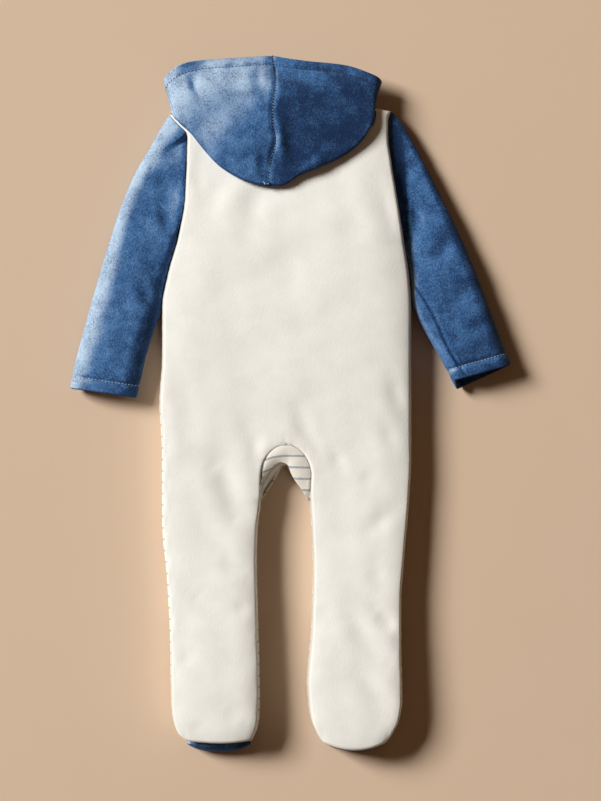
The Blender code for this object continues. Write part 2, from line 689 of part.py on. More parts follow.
def main():
    for old in list(bpy.data.objects):
        bpy.data.objects.remove(old, do_unlink=True)
    ivory = cloth("ivory_velour", (0.84, 0.80, 0.72))
    blue = cloth("blue_melange_velour", (0.16, 0.24, 0.42))
    striped = cloth("ivory_striped_jersey", (0.74, 0.74, 0.72))
    back = Sheet()
    for side in ("left", "right"):
        panel(back, side, True)
        front = Sheet()
        panel(front, side, False)
        front.wall(f"front_{side}", JERSEY, striped)
    back.wall("back", VELOUR, ivory)
    crotch_gusset(striped)
    placket(striped)
    press_stud = cloth("ivory_press_stud", (0.82, 0.80, 0.75), 0.35)
    for number in range(1, POPPER_COUNT + 1):
        popper(number, press_stud)
    for side in ("left", "right"):
        sleeve(side, blue)
        sole(side, blue)
        instep(side, striped)
        hood(side, blue)


main()
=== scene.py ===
"""A hooded, footed baby sleepsuit in cotton velour, lying on its front with its back up.

Every cloth piece is one thin shell on the form of its solid, cut, sewn and creased in its own sizes.
Sizes are in millimetres in the frame's own axes (+X right, +Y to the hood, +Z up) until a mesh is made.
"""

import logging
import math
from dataclasses import dataclass, field
from enum import Enum
from typing import Any, NamedTuple

import bpy
import numpy as np
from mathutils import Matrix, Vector

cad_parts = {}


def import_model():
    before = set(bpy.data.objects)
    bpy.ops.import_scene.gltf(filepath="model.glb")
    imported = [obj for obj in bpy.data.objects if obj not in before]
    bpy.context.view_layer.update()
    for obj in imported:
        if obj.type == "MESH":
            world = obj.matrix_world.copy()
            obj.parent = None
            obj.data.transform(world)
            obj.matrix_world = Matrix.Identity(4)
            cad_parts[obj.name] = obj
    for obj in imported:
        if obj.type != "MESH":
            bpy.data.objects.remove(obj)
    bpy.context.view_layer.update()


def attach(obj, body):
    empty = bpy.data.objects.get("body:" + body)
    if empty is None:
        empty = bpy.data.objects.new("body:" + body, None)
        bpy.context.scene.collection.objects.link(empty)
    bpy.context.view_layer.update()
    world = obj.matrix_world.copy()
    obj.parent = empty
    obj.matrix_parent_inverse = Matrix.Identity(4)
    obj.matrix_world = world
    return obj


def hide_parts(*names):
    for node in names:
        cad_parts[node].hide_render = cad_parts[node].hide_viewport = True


log = logging.getLogger("sleepsuit")

MM = 0.001
# Cloth that lies on the floor keeps at least this thickness, in mm.
LEAST_WALL = 0.6


Array = np.ndarray
Number = np.ndarray | float
Socket = bpy.types.NodeSocket
Material = bpy.types.Material
Object = bpy.types.Object


# ---- lines and soft profiles ----


def hermite(t: Array, step: Array, start: Array, end: Array, slope: Array,
            end_slope: Array) -> Array:
    """A smooth curve between two stations, t of the way along a step, with a slope at each."""
    ends = start * (1 + 2 * t) * (1 - t) ** 2 + end * (3 - 2 * t) * t**2
    return ends + step * t * (1 - t) * (slope * (1 - t) - end_slope * t)


class Line:
    """A smooth line through a few stations that never swings past them."""

    def __init__(self, *stations: tuple[float, float]) -> None:
        """Works out the slope at each station.

        Args:
            stations: (place, value) pairs in rising order of place.
        """
        self.at, self.value = np.array(stations, float).T
        step, rise = np.diff(self.at), np.diff(self.value) / np.diff(self.at)
        slope = np.zeros(len(self.at))
        slope[0], slope[-1] = rise[0], rise[-1]
        same = rise[:-1] * rise[1:] > 0
        near, far = 2 * step[1:] + step[:-1], step[1:] + 2 * step[:-1]
        safe = np.where(same, rise[:-1], 1.0), np.where(same, rise[1:], 1.0)
        slope[1:-1] = np.where(same, (near + far) / (near / safe[0] + far / safe[1]), 0.0)
        self.slope = slope

    def __call__(self, place: Number) -> Array:
        """Reads the line.

        Args:
            place: where to read it.

        Returns:
            The value at each place, with the ends held.
        """
        place = np.clip(place, self.at[0], self.at[-1])
        i = np.clip(np.searchsorted(self.at, place) - 1, 0, len(self.at) - 2)
        step = self.at[i + 1] - self.at[i]
        t = (place - self.at[i]) / step
        return hermite(t, step, self.value[i], self.value[i + 1], self.slope[i], self.slope[i + 1])



def through(points: Array, stations: Array, at: Array) -> Array:
    """Draws a smooth curve through points, along the first axis.

    Args:
        points: values at the stations, of any further shape.
        stations: rising numbers, one for each row of points.
        at: where to read the curve.

    Returns:
        One row for each number in at.
    """
    slope = np.gradient(points, stations, axis=0)
    i = np.clip(np.searchsorted(stations, at) - 1, 0, len(stations) - 2)
    step = stations[i + 1] - stations[i]
    shape = (-1,) + (1,) * (points.ndim - 1)
    t, step = ((at - stations[i]) / step).reshape(shape), step.reshape(shape)
    return hermite(t, step, points[i], points[i + 1], slope[i], slope[i + 1])


def mix(a: Number, b: Number, share: Number) -> Number:
    """Goes from a to b by a share."""
    return a + (b - a) * share


def smooth(value: Array, start: float, end: float) -> Array:
    """Rises softly from 0 at start to 1 at end."""
    t = np.clip((value - start) / (end - start), 0.0, 1.0)
    return t * t * (3 - 2 * t)


def rolled(distance: Array, width: float) -> Array:
    """Rises from 0 at an edge to 1 past its rolled width, on a quarter circle."""
    q = np.clip(distance / width, 0.0, 1.0)
    return np.sqrt(q * (2 - q))


def run_along(places: Array, axis: int = 0) -> Array:
    """How far each place is along its line from the first one, in mm."""
    first = places.take([0], axis)
    return np.cumsum(np.linalg.norm(np.diff(places, axis=axis, prepend=first), axis=-1), axis)


def bell(distance: Array, width: float) -> Array:
    """1 at no distance, and fading softly past the width."""
    return np.exp(-((distance / width) ** 2))


def crowded(count: int, share: float = 0.62) -> Array:
    """Returns count numbers from 0 to 1 that crowd towards both ends."""
    t = np.linspace(0, 1, count)
    return mix(t, 0.5 - 0.5 * np.cos(np.pi * t), share)


def rows_of(kind: type, *rows: tuple) -> tuple:
    """A short table: its kind names the columns, and each row is made one of that kind."""
    return tuple(kind(*row) for row in rows)


class Side(Enum):
    """A side of the suit as it lies, and the way out to it along X."""

    LEFT = -1.0
    RIGHT = 1.0

    @property
    def word(self) -> str:
        """The side as it stands in piece names."""
        return self.name.lower()


def by_side(left: object, right: object) -> Any:
    """A dataclass field that holds one value for each side."""
    return field(default_factory=lambda: {Side.LEFT: left, Side.RIGHT: right})


# ---- the body's form ----


class HeelSeam(NamedTuple):
    """The seam at a heel: where its ends lie, how far its middle bows out, and its middle and half width."""

    edge_y: float
    bow: float
    middle_x: float
    half: float


@dataclass(frozen=True)
class BodyForm:
    """The soft hollow body: its outline from above and its height over the surface it lies on."""

    seam_z: float = 12.0
    gap: float = 0.3
    roll: float = 2.2
    # Past its turned edge the back still swells: by this share of its height, over this width in mm.
    soft_share: dict = by_side(
        Line((-320, 0.12), (140, 0.14)),
        Line((-320, 0.2), (-110, 0.24), (20, 0.44), (140, 0.44)),
    )
    soft_roll: dict = by_side(
        Line((-320, 30), (140, 40)),
        Line((-320, 16), (-110, 22), (20, 46), (140, 46)),
    )
    soft_end: float = 0.2
    soft_inner: float = 24.0
    soft_leg: dict = by_side(0.3, 0.12)
    under_roll: float = 12.0
    middle_x: float = -4.3
    underarm_y: float = 150.0
    neck_half: float = 46.0
    neck_open: float = 0.8
    back_neck_drop: float = 7.0
    front_neck_drop: float = 28.0
    fork_y: float = -70.0
    fork_low_y: float = -94.0
    fork_half: float = 23.5
    fork_rise: float = 30.0
    fork_top_open: float = 0.65
    arch_top_open: float = 0.94
    notch_top_y: float = -61.5
    arch_x: float = -4.0
    notch_end_y: float = -54.0
    heel_open: float = 0.32
    heel_corner: float = 10.0
    arm_curve: float = 0.7
    arch_curve: float = 0.25
    middle_run: float = 60.0
    notch_end: float = 4.0
    front_short: float = 3.0
    leg_end_y: float = -288.0

    outline: dict = by_side(
        Line(
            (-320, -98), (-311, -107), (-298, -111.5), (-280, -113), (-225, -114), (-168, -117),
            (-112, -121.6), (-45, -121.8), (2, -124), (40, -121.6), (90, -121.4), (121, -116),
            (159, -105.5), (192, -99.5), (226, -98), (250, -97.5), (262, -107), (272.2, -115.4),
        ),
        Line(
            (-321, 90.7), (-311, 98), (-298, 103.5), (-280, 106), (-225, 105), (-190, 105),
            (-140, 108.5), (-85, 113), (-50, 114.5), (90, 114.5), (116, 113), (154, 107.4),
            (192, 101.2), (230, 95), (253, 92.4), (268, 92.6), (276, 95.5),
        ),
    )
    inner: dict = by_side(
        Line(
            (-320, -36), (-310, -32), (-298, -29.5), (-275, -29), (-192, -30.9), (-150, -31.8),
            (-120, -31), (-92, -27.8), (-70, -27.5),
        ),
        Line(
            (-322, 31), (-310, 23.7), (-298, 19), (-285, 16.9), (-264, 15.7), (-215, 19.5),
            (-156, 21.1), (-122, 20.1), (-92, 18.5), (-70, 19.5),
        ),
    )
    notch: dict = by_side(
        Line((-94, -28), (-86, -22.5), (-76, -16), (-67, -11), (-61.5, -7.5)),
        Line((-94, 18.6), (-86, 14), (-76, 6), (-67, 1.5), (-61.5, -3.5)),
    )
    crown: Line = Line(
        (-330, 32.5), (-260, 31.5), (-219, 30), (-196, 29), (-100, 26.5), (-30, 27.5), (60, 29.5),
        (160, 28.5), (215, 25.5), (285, 23.5),
    )
    floor: Line = Line((-219, 4.8), (-196, 0))
    shoulder_x: tuple[float, ...] = (-115.4, -50.3, 41.7, 95.5)
    shoulder_line: tuple[float, ...] = (272.2, 281.7, 284.5, 276)
    heel: dict = by_side(HeelSeam(-319.5, 2.5, -67.0, 31.0), HeelSeam(-321.0, 7.5, 61.0, 30.0))
    armhole_open: dict = by_side(0.78, 0.55)
    # How far in from the outline the side seam lies on the upper side.
    seam_in: dict = by_side(
        Line((-320, 0.3), (-240, 0.9), (-200, 2.0), (-60, 2.0), (-20, 1.2), (10, 0.5), (140, 0.2)),
        Line((-320, 0.2), (-250, 0.8), (-225, 0.6), (-190, 0.2), (140, 0.1)),
    )
    seam_in_inner: dict = by_side(
        Line((-320, 0.5), (-290, 1.0), (-225, 1.0), (-205, 0.2), (-110, 0.1)),
        Line((-320, 0.1), (-110, 0.1)),
    )

    def side_x(self, side: Side, y: Number) -> Array:
        """The outline on one side."""
        return self.outline[side](y)

    def shoulder_top(self, side: Side) -> float:
        """The height of the shoulder point."""
        return self.shoulder_line[0 if side is Side.LEFT else -1]

    def neck_share(self, x: Array) -> Array:
        """1 in the middle of the neck and 0 at its sides and beyond."""
        return np.clip(1 - ((x - self.middle_x) / self.neck_half) ** 2, 0.0, 1.0)

    def shoulder_y(self, x: Array, drop: float) -> Array:
        """The shoulder line with the neck cut into it."""
        return np.interp(x, self.shoulder_x, self.shoulder_line) - drop * self.neck_share(x)

    def heel_y(self, side: Side, x: Array) -> Array:
        """The heel seam's line."""
        across = (x - self.heel[side].middle_x) / self.heel[side].half
        return self.heel[side].edge_y - self.heel[side].bow * np.clip(1 - across**2, 0, 1)

    def fork_x(self, side: Side, y: Array) -> Array:
        """The inner edge of the back.

        Args:
            side: which leg.
            y: places along the body.

        Returns:
            The inner leg, the crotch arch, and the middle line above it.
        """
        top = self.fork_y + self.fork_rise
        lift = np.clip((y - self.fork_y) / self.fork_rise, 0, 1)
        arch = self.arch_x + side.value * self.fork_half * np.sqrt(1 - lift**2)
        middle = mix(self.arch_x, self.middle_x, np.clip((y - top) / self.middle_run, 0, 1))
        return np.where(y >= top, middle, np.where(y >= self.fork_y, arch, self.inner[side](y)))

    def notch_x(self, side: Side, y: Array, beside: float) -> Array:
        """The inner edge of the front: the leg, the notch, or the edge beside the placket."""
        open_x, rise = self.middle_x + side.value * beside, smooth(y, self.notch_top_y, self.notch_end_y)
        return np.where(y < self.fork_low_y, self.fork_x(side, y), mix(self.notch[side](y), open_x, rise))

    def edge_rise(self, distance: Array, soft: Number, width: Number,
                  upper: bool) -> Array:
        """The rise from a seam: a tight roll with a soft swell on the back, and a wide roll on the front."""
        turned = (1 - soft) * rolled(distance, self.roll) + soft * rolled(distance, width)
        return turned if upper else rolled(distance, self.under_roll)

    def fullness(self, x: Array, y: Array, upper: bool) -> Array:
        """How far apart back and front stand.

        Args:
            x: places across the body.
            y: places along it.
            upper: True for the back, whose edges roll softly, and False for the front.

        Returns:
            0 where the two meet in a seam, and 1 where they are furthest apart.
        """
        share, soft_end = np.ones_like(x), (self.soft_end, self.soft_inner, upper)
        for side in Side:
            heel, top = self.heel[side], self.shoulder_top(side)
            here = (x < self.arch_x) == (side is Side.LEFT)
            beside = rolled(heel.half - np.abs(x - heel.middle_x), self.heel_corner)
            closed = 1 - (self.heel_open * beside if upper else 0.0)
            past = y - self.heel_y(side, x) - (0.0 if upper else self.front_short)
            end = 1 - closed * (1 - self.edge_rise(past, *soft_end))
            q = np.clip((y - self.underarm_y) / (top - self.underarm_y), 0, 1)
            arch = np.sin(np.pi * q) ** self.arm_curve * ((q > 0) & (q < 1))
            arm = 1 - self.armhole_open[side] * arch
            inside = side.value * (self.side_x(side, y) - x)
            swell = self.edge_rise(inside, self.soft_share[side](y), self.soft_roll[side](y), upper)
            share = share * np.where(here, end, 1.0) * (1 - arm * (1 - swell))
        drop = self.back_neck_drop if upper else self.front_neck_drop
        neck = 1 - self.neck_open * self.neck_share(x) ** 0.5
        share = share * (1 - neck * (1 - self.edge_rise(self.shoulder_y(x, drop) - y, *soft_end)))
        open_from = self.fork_y + self.fork_rise if upper else self.notch_top_y
        lift = np.clip((y - self.fork_low_y) / (open_from - self.fork_low_y), 0, 1)
        lift = self.arch_top_open * lift**self.arch_curve if upper else self.fork_top_open * lift
        soft = np.where(x < self.arch_x, self.soft_leg[Side.LEFT], self.soft_leg[Side.RIGHT])
        inner = self.edge_rise(self.inner_distance(x, y, upper), soft, self.soft_inner, upper)
        return share * (1 - (1 - lift) * (1 - inner))

    def beyond(self, lines: dict, x: Array, y: Array) -> Array:
        """How far out each place is from the line of its own side."""
        return np.where(x < self.arch_x, lines[Side.LEFT](y) - x, x - lines[Side.RIGHT](y))

    def inner_distance(self, x: Array, y: Array, upper: bool) -> Array:
        """How far places are from the crotch and from the inner legs.

        Args:
            x: places across the body.
            y: places along it.
            upper: True for the back, and False for the front.

        Returns:
            The distance in mm.
        """
        legs = self.beyond(self.inner, x, y)
        if upper:
            around = np.hypot((x - self.arch_x) / self.fork_half, (y - self.fork_y) / self.fork_rise)
            return np.where(y < self.fork_y, legs, (around - 1) * self.fork_half)
        past = y - self.notch_top_y
        above = np.where(past > 0, past + self.notch_end, self.beyond(self.notch, x, y))
        return np.where(y < self.fork_low_y, legs, above)

    def back_z(self, x: Array, y: Array) -> Array:
        """The outer face of the back over the surface."""
        low = self.seam_z + self.gap / 2
        return low + (self.crown(y) - low) * self.fullness(x, y, True)

    def front_z(self, x: Array, y: Array) -> Array:
        """The outer face of the front over the surface."""
        high = self.seam_z - self.gap / 2
        return high - (high - self.floor(y)) * self.fullness(x, y, False)


# ---- creases ----


@dataclass(frozen=True)
class Crease:
    """A soft trough, or a ridge where its depth is negative, seen from above.

    x, y and to_x, to_y are its ends. width is half its breadth, bow moves its middle sideways, and lip
    is the share of the depth that stands up as a ridge on its right-hand side.
    """

    x: float
    y: float
    to_x: float
    to_y: float
    depth: float
    width: float
    bow: float = 0.0
    lip: float = 0.35

    def relief(self, x: Array, y: Array) -> Array:
        """Presses the crease into places.

        Args:
            x: places across the suit.
            y: places along it.

        Returns:
            How far the cloth stands out at each place, in mm.
        """
        along = np.array((self.to_x - self.x, self.to_y - self.y))
        length = float(np.hypot(*along))
        ahead = along / length
        t = ((x - self.x) * ahead[0] + (y - self.y) * ahead[1]) / length
        off = (x - self.x) * ahead[1] - (y - self.y) * ahead[0]
        off = off - self.bow * 4 * np.clip(t, 0, 1) * (1 - np.clip(t, 0, 1))
        past = np.maximum(np.maximum(-t, t - 1), 0) * length
        fade = bell(past, self.width * 1.4) * (0.55 + 0.45 * np.sin(np.pi * np.clip(t, 0, 1)))
        ridge = self.lip * bell(off - 1.9 * self.width, 1.1 * self.width)
        return self.depth * fade * (ridge - bell(off, self.width))


def pressed(creases: tuple[Crease, ...], places: Array) -> Array:
    """The relief of all the creases at each place, in mm."""
    return sum(crease.relief(places[:, 0], places[:, 1]) for crease in creases)


def undulation(points: Array, size: float, seed: float) -> Array:
    """A shallow uneven swell.

    Args:
        points: places in mm.
        size: the swell's waves are a few times this long, in mm.
        seed: any number, for another swell of the same kind.

    Returns:
        About -1 to 1 at each place.
    """
    x, y, z = points.T / size
    return (
        np.sin(1.31 * x + 0.62 * y + seed) * np.sin(0.48 * x - 1.17 * y + 2.1 * seed + 0.7 * z)
        + 0.6 * np.sin(2.3 * x - 1.1 * y + 0.9 * z + 3.3 * seed) * np.sin(1.7 * y + 0.8 * x + seed)
    ) / 1.6


# ---- cloth ----


@dataclass
class Patch:
    """A grid of places in mm, with each place's own place on the flat cloth."""

    places: Array
    on_cloth: Array
    flip: bool = False
    closed: bool = False


class Cloth:
    """One sewn piece: patches joined into a sheet, creased, and given its thickness."""

    def __init__(self, *patches: Patch) -> None:
        """Joins the patches where their places meet.

        Args:
            patches: grids whose shared edges have the same places.
        """
        places, flat, quads, grids, start = [], [], [], [], 0
        for patch in patches:
            rows, columns = patch.places.shape[:2]
            number = start + np.arange(rows * columns).reshape(rows, columns)
            grids.append(number)
            if patch.closed:
                number = np.column_stack([number, number[:, 0]])
            a, b, c, d = number[:-1, :-1], number[:-1, 1:], number[1:, 1:], number[1:, :-1]
            corners = np.stack([d, c, b, a] if patch.flip else [a, b, c, d], -1)
            quads.append(corners.reshape(-1, 4))
            places.append(patch.places.reshape(-1, 3))
            flat.append(patch.on_cloth.reshape(-1, 2))
            start += rows * columns
        places, flat, quads = (np.concatenate(part) for part in (places, flat, quads))
        _, first, same = np.unique(np.round(places, 3), axis=0, return_index=True, return_inverse=True)
        self.places, self.flat = places[first], flat[first]
        same = same.reshape(-1)
        self.quads = same[quads]
        self.grids = [same[number] for number in grids]
        self.edges = self.free_edges()

    def free_edges(self) -> Array:
        """Finds the edges with cloth on one side only.

        Returns:
            Two place numbers an edge, in the order of their face's corners.
        """
        ends = np.concatenate([self.quads[:, [i, (i + 1) % 4]] for i in range(4)])
        ends = ends[ends[:, 0] != ends[:, 1]]
        key = ends.min(1) * (len(self.places) + 1) + ends.max(1)
        _, index, count = np.unique(key, return_index=True, return_counts=True)
        return ends[index[count == 1]]

    def normals(self) -> Array:
        """Finds the way out of the cloth.

        Returns:
            A unit vector at each place.
        """
        corner = self.places[self.quads]
        out = np.cross(corner[:, 2] - corner[:, 0], corner[:, 3] - corner[:, 1])
        total = np.zeros_like(self.places)
        for i in range(4):
            np.add.at(total, self.quads[:, i], out)
        length = np.linalg.norm(total, axis=1, keepdims=True)
        return total / np.where(length > 1e-9, length, 1.0)

    def from_edge(self, sewn: Array | None = None) -> Array:
        """How far each place is from the nearest free edge, in mm.

        Args:
            sewn: the numbers of the places that count. All free edges count without it.

        Returns:
            The distance at each place.
        """
        rim = np.unique(self.edges)
        rim = rim if sewn is None else np.intersect1d(rim, sewn)
        near = np.full(len(self.places), 1e9)
        for start in range(0, len(rim), 100):
            gap = self.places[:, None] - self.places[None, rim[start : start + 100]]
            near = np.minimum(near, (gap**2).sum(2).min(1))
        return np.sqrt(near)

    def line_at(self, grid: int, distance: float, from_end: bool = False, closed: bool = False,
                across: bool = False) -> Array:
        """Places at a distance from an edge of a grid, measured along the cloth.

        Args:
            grid: the patch's number.
            distance: how far from the edge, in mm.
            from_end: True to measure from the last row, not the first.
            closed: True where the line comes back to its start.
            across: True to measure along the columns' way, not the rows'.

        Returns:
            The line's places in mm, just proud of the cloth.
        """
        number = self.grids[grid].T if across else self.grids[grid]
        number = number[::-1] if from_end else number
        places, out = self.places[number], self.normals()[number]
        run = run_along(places)
        line = []
        for column in range(number.shape[1]):
            i = int(np.searchsorted(run[:, column], distance))
            t = (distance - run[i - 1, column]) / max(run[i, column] - run[i - 1, column], 1e-6)
            line.append(mix(places[i - 1, column], places[i, column], t) + 0.12 * out[i, column])
        return np.array(line + line[:1] if closed else line)

    def relieve(self, relief: Array) -> "Cloth":
        """Moves each place out by its relief in mm."""
        self.places = self.places + self.normals() * relief[:, None]
        return self

    def shell(self, name: str, thick: Number, edge: Number,
              finish: Material) -> Object:
        """Makes the piece, with its inner face and its rounded edges.

        Args:
            name: the piece's name.
            thick: the cloth's thickness in mm, at all places or at each.
            edge: how far a cut or turned edge rounds out, in mm, at all places or at each.
            finish: the cloth's material.

        Returns:
            The object, in metres at the origin.
        """
        out, count = self.normals(), len(self.places)
        thick = np.broadcast_to(thick, count)[:, None]
        edge = np.broadcast_to(edge, count)[:, None]
        outer = self.places.copy()
        outer[:, 2] = np.maximum(outer[:, 2], 0.0)
        inner = outer - out * thick
        inner[:, 2] = np.maximum(inner[:, 2], LEAST_WALL)
        a, b = self.edges.T
        ways = np.zeros_like(outer)
        across = np.cross(outer[b] - outer[a], out[a] + out[b])
        np.add.at(ways, a, across)
        np.add.at(ways, b, across)
        rim = np.unique(self.edges)
        way = ways[rim] / np.maximum(np.linalg.norm(ways[rim], axis=1, keepdims=True), 1e-9)
        rounding = ((0.18, 0.75), (0.5, 1.0), (0.82, 0.75))
        turn = [mix(outer[rim], inner[rim], t) + way * edge[rim] * out_by for t, out_by in rounding]
        chain = np.zeros((5, count), int)
        chain[0, rim], chain[4, rim] = rim, rim + count
        for i in range(3):
            chain[i + 1, rim] = 2 * count + i * len(rim) + np.arange(len(rim))
        faces = [self.quads, self.quads[:, ::-1] + count]
        for low, high in zip(chain, chain[1:]):
            faces.append(np.column_stack([low[b], low[a], high[a], high[b]]))
        flat = np.concatenate([self.flat, self.flat] + [self.flat[rim]] * 3)
        return mesh_object(name, np.concatenate([outer, inner] + turn), np.concatenate(faces), flat, finish)


def put(name: str, data: bpy.types.ID) -> Object:
    """Puts an object with this mesh, lamp or camera in the scene.

    Args:
        name: the object's name.
        data: what it holds.

    Returns:
        The object, at the origin.
    """
    made = bpy.data.objects.new(name, data)
    bpy.context.scene.collection.objects.link(made)
    return made


def mesh_object(name: str, places: Array, faces: Array, flat: Array,
                finish: Material) -> Object:
    """Makes a smooth mesh from quads.

    Args:
        name: the object's name.
        places: corners in mm.
        faces: four corner numbers a face; a corner named twice makes a triangle.
        flat: each corner's place on the flat cloth in mm, kept as the UV map "cloth".
        finish: its material.

    Returns:
        The object, at the origin.
    """
    corners = [[c for i, c in enumerate(face) if c != face[i - 1]] for face in faces.tolist()]
    mesh = bpy.data.meshes.new(name)
    mesh.from_pydata((places * MM).tolist(), [], [face for face in corners if len(face) > 2])
    loops = np.empty(len(mesh.loops), np.int32)
    mesh.loops.foreach_get("vertex_index", loops)
    mesh.uv_layers.new(name="cloth").data.foreach_set("uv", (flat[loops] * MM).ravel())
    mesh.shade_smooth()
    mesh.materials.append(finish)
    return put(name, mesh)


def sewn_seam(distance: Array, places: Array, depth: float = 0.9, seed: float = 1.0) -> Array:
    """The ditch that a seam pulls into the cloth, with small uneven puckers beside it."""
    pucker = 0.25 * undulation(places, 3.1, seed) * bell(distance, 6.5)
    return pucker - depth * bell(distance, 2.6)


@dataclass(frozen=True)
class Hem:
    """A turned hem: a soft roll of doubled cloth, a ditch where it is stitched, and small waves there."""

    depth: float
    thick: float
    roll: float
    roll_half: float
    ditch: float
    ditch_half: float
    waves: float
    wave_mm: float
    seed: float

    def relief(self, edge: Array, places: Array) -> Array:
        """Shapes the hem.

        Args:
            edge: how far each place is from the hem's edge, in mm.
            places: the places.

        Returns:
            How far the cloth stands out at each place, in mm.
        """
        roll = self.roll * bell(edge - self.depth * 0.45, self.roll_half)
        ditch = self.ditch * bell(edge - self.depth, self.ditch_half)
        waves = self.waves * undulation(places, self.wave_mm, self.seed) * bell(edge - self.depth, 6.0)
        return roll - ditch + waves

    def doubled(self, edge: Array, single: float) -> Array:
        """The cloth's thickness at each place, doubled within the hem."""
        return mix(self.thick, single, smooth(edge, self.depth - 1.5, self.depth + 0.5))


# ---- back and fronts ----


@dataclass
class BodyPanel:
    """One half of the back or of the front, as fine grids on the body's form."""

    form: BodyForm
    side: Side
    upper: bool
    leg_rows: int = 84
    fork_rows: int = 19
    trunk_rows: int = 66
    arm_rows: int = 46
    columns: int = 46
    strip: int = 5
    beside_placket: float = 11.3

    def rows(self) -> tuple[Array, Array]:
        """Places the rows.

        Returns:
            Heights of the rows along the side, and how far each is up the armhole, or 0.
        """
        form = self.form
        edge = form.heel[self.side].edge_y + (0.0 if self.upper else form.front_short)
        leg = mix(edge, form.fork_low_y, np.linspace(0, 1, self.leg_rows) ** 1.25)
        if self.upper:
            arch = form.fork_y + form.fork_rise * np.sin(np.linspace(0, math.pi / 2, self.fork_rows))
            fork = np.concatenate([np.linspace(form.fork_low_y, form.fork_y, 9)[1:-1], arch])
        else:
            fork = np.linspace(form.fork_low_y, -50.0, self.fork_rows)[1:]
        trunk = np.linspace(fork[-1], form.underarm_y, self.trunk_rows)[1:]
        arm = crowded(self.arm_rows, 0.8)[1:]
        up = np.concatenate([np.zeros(len(leg) + len(fork) + len(trunk)), arm])
        side_y = mix(form.underarm_y, form.shoulder_top(self.side), arm)
        return np.concatenate([leg, fork, trunk, side_y]), up

    def place(self, x: Array, y: Array, up: Array, from_back: Array | bool) -> Array:
        """Puts rows of places on the form, bent along the heel and the shoulder.

        Args:
            x: places across, a row for each height.
            y: the rows' heights.
            up: how far up the armhole each row is.
            from_back: where the height is the back's.

        Returns:
            The places in mm.
        """
        form = self.form
        edge = form.heel[self.side].edge_y
        low = np.clip((form.leg_end_y - y) / (form.leg_end_y - edge), 0, 1)
        bent = y + low * (form.heel_y(self.side, x) - edge)
        drop = form.back_neck_drop if self.upper else form.front_neck_drop
        bent = np.where(up > 0, mix(form.underarm_y, form.shoulder_y(x, drop), up), bent)
        height = np.where(from_back, form.back_z(x, bent), form.front_z(x, bent))
        return np.stack([x, bent, height], -1)

    def patches(self) -> list[Patch]:
        """Lays out the panel.

        Returns:
            Its grid, and for a front the strips that it wraps over the edges to the side seams.
        """
        form, way = self.form, self.side.value
        y, up = self.rows()
        y, up = y[:, None], up[:, None]
        outer = form.side_x(self.side, y)
        seam_in = np.where(y < form.underarm_y, form.seam_in[self.side](y), 0.0)
        inner_in = form.seam_in_inner[self.side](y) * (y < form.fork_low_y)
        share = crowded(self.columns)[None]
        if self.upper:
            inner = form.fork_x(self.side, y)
            middle = np.where(up > 0, form.middle_x, inner + way * inner_in)
            grid = self.place(mix(outer - way * seam_in, middle, share), y, up, True)
            return [Patch(grid, grid[..., :2], flip=way > 0)]
        inner = form.notch_x(self.side, y, self.beside_placket)
        grid = self.place(mix(outer, inner, share), y, up, False)
        made = [Patch(grid, grid[..., :2], flip=way < 0)]
        ramp = np.linspace(1, 0, self.strip)[None]
        body = y[:, 0] <= form.underarm_y
        over = self.place(outer[body] - way * seam_in[body] * ramp, y[body], up[body], ramp > 0)
        made.append(Patch(over, over[..., :2], flip=way < 0))
        legs, ramp = y[:, 0] <= form.fork_low_y, ramp[:, ::-1]
        over = self.place(inner[legs] + way * inner_in[legs] * ramp, y[legs], up[legs], ramp > 0)
        made.append(Patch(over, over[..., :2], flip=way < 0))
        return made


